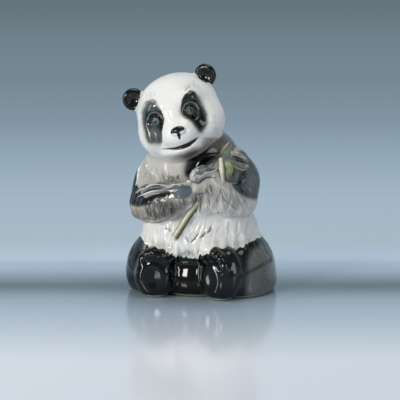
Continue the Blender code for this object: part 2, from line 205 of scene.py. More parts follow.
def rightLeg():
    # the other leg, its sole turned in
    toes = [(14, -34, 31), (18.5, -37, 34.5), (23.5, -40.5, 34.5), (28.5, -43, 31), (31.5, -44, 26)]
    return [
        ball((35.5, 1, 15), (24, 36, 29.5), blend=4),
        ball((37, 1, 7), (22.5, 34, 14), blend=5),
        roll([(38, -12, 14), (30, -29, 14)], [16, 14], blend=5),
        ball((26.5, -34, 18.5), (17.5, 12.5, 21), turn=(-8, 0, -28), blend=3),
        dug(ball((17, -51, 15), (10, 8, 13), turn=(0, 0, -32), blend=4)),
    ] + [ball(at, (4, 5.4, 4.8), blend=2.5) for at in toes]


def leftArm():
    # upper arm, forearm across the chest, paw and three fingers over the stalk
    fingers = [roll([(-8, -44, 70 + 5 * i), (-1, -47.5, 71.5 + 5 * i), (5, -45.5, 73 + 5 * i)],
                    [2.6, 3.1, 2.4], blend=2, steps=4) for i in range(3)]
    return [
        roll([(-25, 3, 93), (-32, -3, 81), (-32.5, -13, 65)], [13, 13, 13.5], blend=3),
        roll([(-32.5, -13, 65), (-22, -30, 67), (-7, -40, 74)], [13, 12.5, 10], blend=3),
        ball((-3, -42, 77), (10, 6.5, 8), turn=(0, -18, 0), blend=2),
        ball((-16, -33, 75), (13, 8, 8), blend=4),  # wrist under the leaves
    ] + fingers


def rightArm():
    # the same on the other side, its paw raised higher
    fingers = [roll([(22, -41, 83 + 5 * i), (14, -45.5, 82.5 + 5 * i), (8, -44, 81 + 5 * i)],
                    [2.6, 3.1, 2.4], blend=2, steps=4) for i in range(3)]
    return [
        roll([(27, 3, 93), (35, -1, 83), (35, -12, 70)], [13.5, 13.5, 13.5], blend=3),
        roll([(35, -12, 70), (28, -29, 74), (17, -38, 86)], [13, 12.5, 9.5], blend=3),
        ball((15, -40, 90), (10, 6, 8), turn=(0, 25, 0), blend=2),
    ] + fingers


def eyeClay(clay, side):
    # an eyeball in a shallow socket, between an upper and a lower lid
    skin, under = laid([eyeSpots[side]] * 2, clay, [0, -1])
    out = skin - under
    right = out.cross(Vector((0, 0, -1))).normalized()
    up = out.cross(right)
    lids = [[skin + right * 4.4 * math.cos(turn) + up * high * math.sin(turn)
             - out * (1.6 - 0.9 * math.sin(turn)) for turn in np.linspace(0, math.pi, 7)]
            for high in (3.3, -2.8)]
    return [
        dug(ball(skin + out * 1.2, (6.5, 3.6, 5.2), turn=(0, 0, 25 * side), blend=4)),
        ball(skin - out * 3.2, (3.6, 3.6, 3.6), blend=0.4),
        roll(lids[0], [0.5, 1.0, 0.5], blend=0.8, steps=2),
        roll(lids[1], [0.4, 0.8, 0.4], blend=0.8, steps=2),
    ]


def earClay(side):
    # a round ear with a hollow pressed in its front
    x, y, z = 28 * side - 1, 5, 18 - 0.5 * (1 - side)
    turn = (0, 30 * side, -15 * side)
    return [
        ball((x, y, z), (8.4, 4.4, 8.6), turn=turn, blend=2),
        dug(ball((x, y - 4.5, z + 0.3), (5.2, 3.6, 5.4), turn=turn, blend=1.5)),
    ]


def headClay():
    return [onHead(lump) for lump in headInOwnFrame()]


def faceClay():
    # the broad lumps of the head, in its own frame
    clay = [
        ball((0, 3, 2), (30.5, 27, 25), blend=4),  # skull
        ball((0, -4, -15), (29, 22, 16), blend=8),  # lower face
        ball((0, -17, -1), (10, 13, 13), blend=8),  # bridge of the nose
        ball((0, -22, -13.5), (15, 15.5, 12), blend=6),  # muzzle
        ball((-1, -16.5, -25.5), (17, 14.5, 7.5), blend=5),  # chin
    ]
    for side in (-1, 1):
        clay += [
            ball((17.5 * side, -4, -11), (14.5, 18, 14), blend=7),  # cheek
            ball((12.5 * side, -17.5, 9.5), (8, 7, 5), turn=(0, 22 * side, 0), blend=8),  # brow
        ]
    return clay


def headInOwnFrame():
    # the whole head: eyes, ears, mouth and nose worked on to its broad lumps
    face = faceClay()
    clay = list(face)
    for side in (-1, 1):
        clay += eyeClay(face, side) + earClay(side)
    mouth = [(-17, -24, -21.4), (-11.5, -28, -22.1), (-6.7, -31, -23.3), (-0.4, -32, -23.5),
             (4.9, -31, -23.3), (9, -29, -22), (12, -27, -20.6)]
    septum = [(1, -38, -11), (1, -37, -16)]
    return clay + [
        dug(roll(laid(mouth, face, [0.2] * 7), [0.4, 0.7, 1.6, 1.7, 1.5, 1.0, 0.6], blend=0.4, steps=3)),
        dug(roll(laid(septum, face, [0.2] * 2), [0.8, 0.8], blend=0.5, steps=3)),
        ball(laid([noseSpot], face, [-0.6])[0], (5.8, 3.2, 3.6), blend=0.6),  # nose
    ]


def bambooClay(clay):
    # a sprig held in the paws: its stalk goes into the fur, shows again above, and ends in leaves
    stalk = [(-7.4, -38, 45), (-1.8, -38, 53.5), (4, -39, 62.5), (12, -40, 75)]
    stem = [(28.5, -39, 88), (28, -38, 96), (26, -31, 102)]
    tip = (26, -29, 103)
    leaves = [
        ([(7.5, -46, 87), (-3.5, -46, 86), (-18.5, -35, 82.5), (-29.5, -22, 80), (-36, -22, 77),
          (-39.5, -23, 73)], 5.5),
        ([(-2, -48, 84.5), (-13, -43, 81.5), (-22, -38, 79), (-29, -35, 76), (-35.5, -30, 72)], 6),
        ([(5, -46, 88.5), (11, -48, 93), (16, -45, 96), (21, -39, 96.5), tip], 10),
        ([tip, (31.5, -8.5, 99), (41, -6, 95.5)], 5),
        ([tip, (36, -26, 97), (40.5, -9, 92.5)], 7.5),
        ([tip, (26, -9.5, 106), (26.5, -3, 110.5)], 7),
        ([tip, (29, -7.5, 102.5), (34, -4, 102)], 3.5),
        ([tip, (31.5, -35, 97), (32.5, -36.5, 88.5)], 6.5),
    ]
    return [
        roll(laid(stalk, clay, [1.2, 1.2, 0.6, -4]), [stalkRadius], blend=0.8),
        roll(laid(stem, clay, [0.3, 0.5, 0.5]), [1.6, stalkRadius, 1.8], blend=0.8),
    ] + [leaf(clay, points, width) for points, width in leaves]


def furClay(clay):
    # hanging fur where the coat ends over arms and thighs, and cuts through the broad parts
    fringes = [
        ([(-41, -20, 68), (-25, -40, 70), (-7, -46, 71)],
         [(-44, -18, 54), (-27, -37, 54), (-8, -42, 57)], 7, 3.6),
        ([(12, -44, 78), (27, -38, 74), (43, -20, 72)],
         [(11, -42, 64), (26, -36, 61), (46, -16, 57)], 7, 3.6),
        ([(-34, -20, 44), (-14, -36, 43), (6, -40, 42), (26, -35, 44), (43, -16, 46)],
         [(-38, -24, 34), (-16, -38, 31), (4, -40, 30), (22, -38, 34), (48, -22, 36)], 12, 4.0),
    ]
    cuts = [
        ([(-44, -14, 70), (-30, -36, 69), (-14, -44, 68)],
         [(-44, -14, 58), (-29, -38, 58), (-12, -42, 60)], 6, 1.2),
        ([(16, -44, 80), (28, -36, 82), (44, -14, 84)],
         [(14, -42, 68), (27, -38, 64), (46, -12, 62)], 6, 1.2),
        ([(-36, -4, 98), (-26, -16, 96)], [(-44, -6, 84), (-36, -20, 82)], 3, 1.3),
        ([(32, -14, 98), (40, 0, 98)], [(40, -18, 84), (48, -4, 84)], 3, 1.3),
        ([(-22, -33, 56), (2, -38, 57), (26, -34, 58), (40, -18, 58)],
         [(-25, -36, 45), (-3, -40, 44), (20, -38, 46), (38, -22, 46)], 9, 1.2),
        ([(40, -22, 42), (54, -2, 40)], [(48, -26, 28), (60, -4, 26)], 3, 1.3),
        ([(-44, -20, 36), (-50, -2, 36)], [(-46, -22, 24), (-54, -4, 22)], 3, 1.3),
        ([(-22, 30, 90), (24, 30, 90)], [(-28, 34, 74), (30, 34, 74)], 6, 1.5),
        ([(-20, 32, 66), (26, 32, 66)], [(-22, 38, 48), (30, 38, 48)], 6, 1.5),
    ]
    crease = laid([(44, -30, 16.5), (54, -18, 22), (60, -4, 25)], clay, [0.3] * 3)
    crease = [dug(roll(crease, [0.4, 1.2, 0.4], blend=0.6, steps=4))]
    cuffs = locks(clay, *fringes[0]) + locks(clay, *fringes[1])
    hem = locks(clay, *fringes[2])
    fur = crease + cuffs + hem
    for row in cuts:
        fur += furrows(clay + fur, *row)
    return fur, cuffs, hem


# distance from a point to the pressed-together clay


def lumpDistance(points, lump):
    # roughly how far each point is outside one lump
    if lump["kind"] == "ball":
        local = (points - np.array(lump["centre"])) @ np.array(lump["axes"])
        radii = np.array(lump["radii"], float)
        near = np.linalg.norm(local / radii, axis=1)
        return near * (near - 1) / np.maximum(np.linalg.norm(local / radii**2, axis=1), 1e-9)
    line = asArray(lump["line"])
    if lump["kind"] == "leaf":
        return leafDistance(points, line, lump)
    found = np.full(len(points), np.inf)
    for a, b, ra, rb in zip(line, line[1:], lump["thickness"], lump["thickness"][1:]):
        along = b - a
        t = np.clip((points - a) @ along / (along @ along), 0, 1)
        gap = np.linalg.norm(points - a - t[:, None] * along, axis=1) - (ra + (rb - ra) * t)
        found = np.minimum(found, gap)
    return found


def leafDistance(points, line, lump):
    # the distance to a leaf, whose section is a flat ellipse across its line
    found = np.full(len(points), np.inf)
    thin = lump["thickness"]
    widths = lump["halfWidths"]
    for a, b, wa, wb, facing in zip(line, line[1:], widths, widths[1:], lump["facings"]):
        along = b - a
        length = np.linalg.norm(along)
        across = np.cross(along / length, facing)
        across /= np.linalg.norm(across)
        face = np.cross(across, along / length)
        free = (points - a) @ along / length**2
        t = np.clip(free, 0, 1)
        offset = points - a - t[:, None] * along
        wide = wa + (wb - wa) * t
        past = offset @ along / length
        side, up = offset @ across, offset @ face
        near = np.sqrt((side / wide) ** 2 + (up / thin) ** 2 + (past / thin) ** 2)
        slope = np.sqrt((side / wide**2) ** 2 + (up / thin**2) ** 2 + (past / thin**2) ** 2)
        found = np.minimum(found, near * (near - 1) / np.maximum(slope, 1e-9))
    return found


def blended(a, b, width):
    # the smaller of two distances, with the corner between them rounded over the width
    corner = np.maximum(width - np.abs(a - b), 0) / width
    return np.minimum(a, b) - corner**2 * width / 4


def withinReach(points, lump):
    # which of the points are near enough to that lump for it to matter
    if lump["kind"] == "ball":
        low = high = np.array(lump["centre"])
        size = max(lump["radii"])
    else:
        line = asArray(lump["line"])
        low, high = line.min(axis=0), line.max(axis=0)
        size = max(lump["halfWidths" if lump["kind"] == "leaf" else "thickness"])
    reach = size + lump["blend"] + lumpReach
    return np.flatnonzero(within(points, low - reach, high + reach))


def formDistance(points, clay):
    # how far each point is outside the blended clay
    found = np.full(len(points), 4 * lumpReach)
    for lump in clay:
        near = withinReach(points, lump)
        gap = lumpDistance(points[near], lump)
        if lump.get("hollow"):
            found[near] = -blended(-found[near], gap, lump["blend"])
        else:
            found[near] = blended(found[near], gap, lump["blend"])
    return found


def outward(points, clay):
    # the direction straight out of the form at each point
    step = 0.2
    slope = np.stack([formDistance(points + step * axis, clay) - formDistance(points - step * axis, clay)
                      for axis in np.eye(3)], axis=1)
    return unitRows(slope)


def laid(points, clay, lifts):
    # the points brought on to the form's surface, each then raised off it by its lift
    found = asArray(points)
    for _ in range(5):
        found = found - formDistance(found, clay)[:, None] * outward(found, clay)
    found = found + outward(found, clay) * np.array(lifts, float)[:, None]
    return [Vector(p) for p in found]


# meshes


def coordinates(mesh):
    values = np.empty(len(mesh.vertices) * 3)
    mesh.vertices.foreach_get("co", values)
    return values.reshape(-1, 3)


def setCoordinates(mesh, points):
    mesh.vertices.foreach_set("co", points.ravel())
    mesh.update()


def normals(mesh):
    values = np.empty(len(mesh.vertices) * 3, np.float32)
    mesh.vertex_normals.foreach_get("vector", values)
    return values.reshape(-1, 3).astype(float)


def edgeEnds(mesh):
    ends = np.empty(len(mesh.edges) * 2, np.int64)
    mesh.edges.foreach_get("vertices", ends)
    return ends.reshape(-1, 2)


def relaxed(points, ends):
    # each point at the mean of its neighbours
    total = np.zeros_like(points)
    count = np.zeros(len(points))
    for a, b in (ends.T, ends.T[::-1]):
        for axis in range(3):
            total[:, axis] += np.bincount(a, weights=points[b, axis], minlength=len(points))
        count += np.bincount(a, minlength=len(points))
    return total / count[:, None]


def settle(mesh, clay):
    # moves every vertex on to the blended form above its foot, easing the mesh along the surface as it goes
    ends = edgeEnds(mesh)
    for _ in range(settleSteps):
        points = coordinates(mesh)
        points += 0.5 * (relaxed(points, ends) - points)
        setCoordinates(mesh, points)
        gap = -blended(-formDistance(points, clay), points[:, 2], footRound)
        points -= np.clip(gap, -settleReach, settleReach)[:, None] * normals(mesh)
        setCoordinates(mesh, points)
    setCoordinates(mesh, points + 0.3 * (relaxed(points, ends) - points))


# the photograph's camera, which also says where painted features fall

studio = {
    "pixel": 0.742e-3,  # metres of the figure to one pixel of the picture
    "origin": (199.6, 288.7),  # where the origin falls in the picture
    "half": 200,  # pixels from the picture's edge to its middle
    "distance": 2.0,
    "azimuth": 12,
    "elevation": 10,
    "sensor": 36,
    "sheet": 9,  # metres along a side of the table and of the wall
    "wallAt": 2.6,  # metres behind the origin
    # the backdrop's glow, painted light graded by height
    "wallGlow": [(0.0, "#6A7980"), (0.06, "#6A7980"), (0.17, "#93A6B3"), (0.3, "#9FB1C0")],  # by height in m
    "graded": 3.2,  # metres of table, from the wall forward, that the next two share out
    # the table's colours, darker and lighter bands as painted light and shade
    "tablePaintedLight": [(22, "#2E3A40"), (220, "#2E3A40"), (240, "#5A6A74"), (258, "#CDE1ED"), (270, "#B7C8D7"),
                   (280, "#768890"), (286, "#45545A"), (292, "#798D96"), (298, "#A0B3BC"), (310, "#B9CADD"),
                   (330, "#D6E0E9"), (360, "#F6F8FF"), (399, "#F0F3FA")],  # by the picture row it shows at
    # the table's glow, painted light, brightest far back and none near the figure
    "tableGlow": [(22, "#3E474B"), (40, "#3B4950"), (80, "#364748"), (120, "#4A5B66"), (160, "#6B7C88"),
                  (200, "#84929E"), (220, "#8895A0"), (240, "#848F93"), (262, "#1C2136"), (276, "#0A0C0E"),
                  (282, "#000000")],
    "air": "#B2B4B6",
    "airStrength": 0.4,
    "aim": (0, 0, 0.08),  # what the lights are turned to
}


def cameraPlace():
    # its spot in metres, and its axes back towards it, to its right and up
    a, e = math.radians(studio["azimuth"]), math.radians(studio["elevation"])
    back = Vector((math.sin(a) * math.cos(e), -math.cos(a) * math.cos(e), math.sin(e)))
    right = Vector((math.cos(a), math.sin(a), 0))
    up = back.cross(right)
    px, py = studio["origin"]
    aim = ((studio["half"] - px) * right + (py - studio["half"]) * up) * studio["pixel"]
    return aim + back * studio["distance"], back, right, up


def pictureSpots(points):
    # where table points fall in the picture
    place, back, right, up = (np.array(v) for v in cameraPlace())
    away = toMetres(points) - place
    scale = studio["distance"] / studio["pixel"] / -(away @ back)
    return np.stack([away @ right * scale, -away @ up * scale], axis=1) + studio["half"]


def rayThrough(px, py):
    # the camera's place and the way from it through a spot of the picture
    place, back, right, up = cameraPlace()
    across = right * (px - studio["half"]) - up * (py - studio["half"])
    way = across * studio["pixel"] - back * studio["distance"]
    return place, way.normalized()


def seenAt(obj, spots):
    # the table points of the surface that the picture shows at those spots
    found = []
    for px, py in spots:
        hit, point, _, _ = obj.ray_cast(*rayThrough(px, py))
        if hit:
            found.append(toTable(point))
    return np.array(found)


def makeCamera():
    # the camera that the photograph was judged to be taken with
    place, back, _, _ = cameraPlace()
    bpy.ops.object.camera_add(location=place, rotation=back.to_track_quat("Z", "Y").to_euler())
    camera = bpy.context.object
    camera.data.sensor_width = studio["sensor"]
    camera.data.lens = studio["sensor"] * studio["distance"] / (2 * studio["half"] * studio["pixel"])
    bpy.context.scene.camera = camera


# the casting, refined from the solid

casting = {
    "voxel": 0.0015,  # cell of its mesh, before it is cut finer
    "fineFront": ((138, 82), (262, 262)),  # corners of the picture's part where its cells are halved
    "fineFace": ((-24, -99, -27), (24, -15, 9)),  # and of the head's part where they are halved again
    "seed": 7,
}


def onlySelect(obj):
    bpy.ops.object.select_all(action="DESELECT")
    obj.select_set(True)
    bpy.context.view_layer.objects.active = obj


def applyModifier(obj, kind, **settings):
    # adds a modifier with those settings and applies it
    onlySelect(obj)
    modifier = obj.modifiers.new(kind.title(), kind)
    for name, value in settings.items():
        setattr(modifier, name, value)
    bpy.ops.object.modifier_apply(modifier=modifier.name)


def added(name, add, **settings):
    # the object that one of Blender's add commands makes, named
    bpy.ops.object.select_all(action="DESELECT")
    add(**settings)
    bpy.context.object.name = bpy.context.object.data.name = name
    return bpy.context.object


def toTable(points):
    return np.asarray(points) / unit + middle  # metres to table units


def toMetres(points):
    return (np.asarray(points) - middle) * unit


def inHead(points):
    # table points as the head's own frame sees them
    return (points - np.array(headCentre)) @ np.array(headTurn.to_matrix())


def refineCasting(clay):
    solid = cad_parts["panda"]
    obj = solid.copy()
    obj.data = solid.data.copy()
    obj.name = obj.data.name = "porcelainPanda"
    bpy.context.scene.collection.objects.link(obj)
    obj.parent = None
    onlySelect(obj)
    bpy.ops.object.mode_set(mode="EDIT")
    bpy.ops.mesh.select_all(action="SELECT")
    bpy.ops.mesh.remove_doubles(threshold=1e-6)
    bpy.ops.object.mode_set(mode="OBJECT")
    applyModifier(obj, "REMESH", mode="VOXEL", voxel_size=casting["voxel"])
    spots, facing = frontView(obj)
    cutFiner(obj, (facing > 0) & within(spots, *casting["fineFront"]))
    cutFiner(obj, within(inHead(toTable(coordinates(obj.data))), *casting["fineFace"]))
    setCoordinates(obj.data, toTable(coordinates(obj.data)))
    settle(obj.data, clay)
    setCoordinates(obj.data, toMetres(coordinates(obj.data)))
    obj.data.shade_smooth()
    print("casting refined:", len(obj.data.polygons), "faces")
    return obj


def frontView(obj):
    # each vertex's spot in the picture, and how squarely it faces the camera
    spots = pictureSpots(toTable(coordinates(obj.data)))
    _, back, _, _ = cameraPlace()
    return spots, normals(obj.data) @ np.array(back)


def cutFiner(obj, near):
    # halves the cells between those vertices
    onlySelect(obj)
    bpy.ops.object.mode_set(mode="EDIT")
    bpy.ops.mesh.select_mode(type="VERT")
    bpy.ops.mesh.select_all(action="DESELECT")
    bpy.ops.object.mode_set(mode="OBJECT")
    obj.data.vertices.foreach_set("select", near)
    bpy.ops.object.mode_set(mode="EDIT")
    bpy.ops.mesh.select_mode(type="EDGE")
    bpy.ops.mesh.subdivide(number_cuts=1, ngon=False)
    bpy.ops.object.mode_set(mode="OBJECT")


# fur: tapering cuts, each row from a line of roots to a line of tips

furFront = [
    # picture spots of the roots and of the tips, count, sway, depth, half-width, ink
    ([(142, 204), (152, 203), (160, 200), (169, 204), (178, 202), (187, 199)],
     [(148, 216), (155, 220), (164, 224), (176, 220), (184, 215), (190, 212)], 42, 1.2, 0.9, 0.5, 1.0),
    ([(146, 208), (160, 208), (178, 207)], [(151, 222), (164, 226), (180, 220)], 20, 1.5, 0.9, 0.55, 0.9),
    ([(190, 197), (196, 195), (203, 191)], [(189, 213), (195, 214), (202, 211)], 10, 1.0, 0.9, 0.8, 1.0),
    ([(206, 184), (213, 185), (222, 188), (232, 186), (240, 196)],
     [(209, 204), (219, 209), (232, 208), (243, 213), (251, 208)], 24, 2.0, 0.8, 0.5, 0.55),
    ([(205, 194), (216, 197), (228, 200)], [(207, 212), (218, 216), (236, 217)], 9, 1.5, 0.9, 0.55, 0.7),
    ([(148, 224), (170, 224), (200, 217), (230, 216), (256, 217)],
     [(150, 240), (167, 243), (193, 248), (222, 244), (252, 239)], 26, 2.5, 0.55, 0.6, 0.14),
    ([(148, 236), (162, 241), (178, 246), (197, 249), (216, 246), (236, 242), (256, 235)],
     [(150, 245), (164, 251), (179, 256), (196, 257), (214, 252), (234, 249), (255, 243)],
     46, 1.4, 0.7, 0.5, 0.38),
    ([(148, 164), (160, 168), (170, 172)], [(150, 182), (161, 184), (172, 184)], 12, 1.0, 0.4, 0.6, 0.3),
    ([(161, 174), (168, 173), (175, 175)], [(163, 185), (170, 185), (177, 184)], 8, 1.0, 0.6, 0.6, 0.8),
    ([(206, 96), (211, 108), (214, 122), (214, 134)],
     [(213, 101), (218, 112), (220, 125), (219, 138)], 12, 0.6, 0.35, 0.6, 0.1),
    ([(143, 108), (143, 122), (145, 138)], [(139, 112), (139, 127), (141, 142)], 8, 0.6, 0.35, 0.6, 0.15),
    ([(184, 84), (192, 80), (199, 82)], [(186, 92), (194, 88), (202, 91)], 7, 1.0, 0.4, 0.6, 0.2),
    ([(146, 92), (153, 90)], [(147, 99), (156, 97)], 4, 0.8, 0.4, 0.6, 0.2),
]
furSingles = [
    # spots along one cut, depth, half-width, ink
    ([(218.2, 212), (218.6, 217), (217, 223)], 0.6, 0.8, 1.0),
    ([(211, 226), (210, 230), (207.5, 233)], 0.6, 0.7, 0.9),
    ([(205.5, 232), (203, 235.5), (200, 238)], 0.6, 0.7, 0.95),
    ([(198, 234), (195, 238.5), (191, 242.5)], 0.6, 0.7, 1.0),
    ([(186, 236), (187, 239), (188.5, 242)], 0.5, 0.6, 0.7),
    ([(165.5, 226), (166.5, 230)], 0.5, 0.7, 0.8),
    ([(169, 228), (170.5, 232)], 0.5, 0.6, 0.7),
    ([(178.6, 175.4), (177.6, 178), (179.4, 180.8)], 0.4, 0.8, 1.0),
    ([(220.7, 191), (223.8, 198.8), (230.9, 204.9), (238, 211)], 0.8, 0.8, 0.7),
    ([(209.5, 184), (211, 188), (212, 192)], 0.6, 0.7, 0.9),
    ([(205.4, 188.6), (207.5, 192), (210, 196)], 0.6, 0.7, 0.9),
    ([(157.6, 199), (158.6, 203), (160.5, 208)], 0.9, 1.1, 1.0),
    ([(189.6, 179.9), (194, 182.5), (198.8, 183), (202.3, 179.9), (208, 177.3), (215.6, 177.9)],
     0.3, 0.8, 1.0),
    ([(227.9, 181.5), (231.5, 176.5), (234.8, 171)], 0.3, 0.8, 1.0),
    ([(231.5, 154.6), (236.5, 152.6), (240, 155)], 0.3, 0.9, 1.0),
    # painted shadow under the lower leaf across the left sleeve, drawn as a dark stroke
    ([(145.8, 198.3), (154, 195), (163.5, 192.6), (169.5, 189.5)], 0.3, 1.1, 1.0),
    ([(189.8, 85.6), (187, 88), (184.6, 92)], 0.4, 0.6, 0.6),
    ([(193.5, 89), (190, 91), (187.5, 94)], 0.4, 0.6, 0.4),
    ([(144.6, 103), (147.5, 101.2), (151, 102.6)], 0.4, 0.6, 0.8),
    ([(149.8, 100), (153, 99.8), (156.6, 102.6)], 0.4, 0.6, 0.7),
]
furAround = [
    # table points of the roots and of the tips, and the rest as above
    ([(-22, 28, 112), (22, 28, 112)], [(-26, 32, 94), (28, 32, 94)], 16, 2.0, 0.5, 0.8, 0.1),
    ([(-26, 32, 92), (28, 32, 92)], [(-28, 32, 74), (30, 32, 74)], 16, 2.0, 0.5, 0.8, 0.1),
    ([(-30, 30, 70), (34, 30, 70)], [(-32, 36, 52), (36, 36, 52)], 18, 2.0, 0.5, 0.8, 0.12),
    ([(-34, 28, 50), (38, 28, 50)], [(-32, 36, 38), (36, 36, 38)], 20, 1.5, 0.5, 0.8, 0.15),
    ([(-36, 8, 60), (-32, 22, 60)], [(-38, 6, 44), (-34, 26, 44)], 6, 1.5, 0.5, 0.8, 0.1),
    ([(44, 2, 60), (40, 20, 60)], [(46, 2, 44), (40, 26, 44)], 6, 1.5, 0.5, 0.8, 0.1),
    ([(-45, -8, 90), (-42, 8, 92)], [(-48, -10, 70), (-46, 8, 72)], 8, 1.5, 0.45, 0.8, 0.0),
    ([(46, -8, 90), (44, 8, 92)], [(50, -10, 70), (48, 8, 72)], 8, 1.5, 0.45, 0.8, 0.0),
    ([(-46, -10, 64), (-44, 6, 66)], [(-45, -12, 52), (-42, 4, 54)], 8, 1.0, 0.5, 0.7, 0.4),
    ([(48, -10, 64), (46, 6, 66)], [(47, -12, 52), (44, 4, 54)], 8, 1.0, 0.5, 0.7, 0.4),
    ([(-50, -14, 34), (-50, 10, 34), (-40, 28, 34)],
     [(-53, -18, 20), (-55, 12, 18), (-44, 34, 18)], 14, 2.0, 0.45, 0.8, 0.0),
    ([(54, -14, 38), (56, 10, 38), (46, 30, 36)],
     [(58, -18, 22), (61, 12, 20), (50, 36, 20)], 14, 2.0, 0.45, 0.8, 0.0),
    ([(-6, 45, 27), (12, 45, 27)], [(-6, 46, 12), (13, 46, 12)], 8, 1.0, 0.5, 0.7, 0.1),
    ([(-28, 14, 150), (-4, 18, 156), (12, 16, 152)],
     [(-30, 18, 134), (-6, 24, 138), (14, 20, 134)], 16, 1.5, 0.4, 0.8, 0.05),
]
slip = 6  # mm from one seen point to the next, past which a cut has slipped on to what is behind


def strokeRows(rows, rng):
    # every cut as (its root, middle and tip, depth, half-width, ink)
    found = []
    for roots, tips, count, sway, depth, width, ink in rows:
        for i in range(count):
            share = np.clip((i + 0.5 + rng.uniform(-0.35, 0.35)) / count, 0, 1)
            root, tip = (np.array(onCurve([tuple(p) + (0,) * (3 - len(p)) for p in line], share))
                         for line in (roots, tips))
            late, short = rng.uniform(-0.12, 0.3), rng.uniform(-0.05, 0.3)
            root, tip = root + (tip - root) * late, tip + (root - tip) * short
            bend = np.cross(tip - root, (0, 0, 1) if len(roots[0]) == 2 else (0, -1, 0))
            bend = bend / max(np.linalg.norm(bend), 1e-9) * rng.uniform(-sway, sway)
            scale, dark = rng.uniform(0.7, 1.2), rng.uniform(0.5, 1.0)
            line = [root, (root + tip) / 2 + bend, tip + bend * 0.4]
            found.append((line, depth * scale, width, ink * dark))
    return found


def eased(spots):
    # a smooth line through picture spots
    line = smoothLine([Vector(tuple(spot)[:2] + (0,)) for spot in spots], 3)
    return np.array([(p[0], p[1]) for p in line])


def seenLine(spots):
    # the same, brought on to the casting for as far as the picture sees it unbroken
    points = seenAt(panda, eased(spots))
    line = [points[0]] if len(points) else []
    for point in points[1:]:
        if np.linalg.norm(point - line[-1]) > slip:
            break
        line.append(point)
    return np.array(line)


def laidStrokes(strokes):
    # the cuts that no picture spots give, brought on to the plain form all together
    points = laid([p for line, *_ in strokes for p in line], plainClay, [0] * (3 * len(strokes)))
    lines = [smoothLine(points[3 * i:3 * i + 3], 4) for i in range(len(strokes))]
    return [(asArray(line), *rest) for line, (_, *rest) in zip(lines, strokes)]


def lineDistance(points, line):
    # distance to a polyline, and the share along it of the nearest place
    near = np.full(len(points), np.inf)
    share = np.zeros(len(points))
    for i, (a, b) in enumerate(zip(line, line[1:])):
        along = b - a
        t = np.clip((points - a) @ along / max(along @ along, 1e-9), 0, 1)
        gap = np.linalg.norm(points - a - t[:, None] * along, axis=1)
        closer = gap < near
        near[closer] = gap[closer]
        share[closer] = (i + t[closer]) / (len(line) - 1)
    return near, share


def cutStrokes(obj, strokes):
    # presses the cuts into the casting and gives how dark each vertex is inked
    points = toTable(coordinates(obj.data))
    depths = np.zeros(len(points))
    ink = np.zeros(len(points))
    for line, depth, width, dark in strokes:
        inBox = np.flatnonzero(within(points, line.min(axis=0) - 3 * width, line.max(axis=0) + 3 * width))
        near, share = lineDistance(points[inBox], line)
        taper = np.sin(np.pi * np.clip(share, 0.03, 0.97)) ** 0.6
        cut = np.exp(-(near / width) ** 2) * taper
        depths[inBox] = np.maximum(depths[inBox], depth * cut)
        ink[inBox] = np.maximum(ink[inBox], dark * np.exp(-(near / (width * taper + 0.1)) ** 2))
    points -= depths[:, None] * normals(obj.data)
    points[:, 2] = np.maximum(points[:, 2], 0)
    setCoordinates(obj.data, toMetres(points))
    return ink


# painting: masks worked out at the vertices, from picture spots in front and from the lumps all round

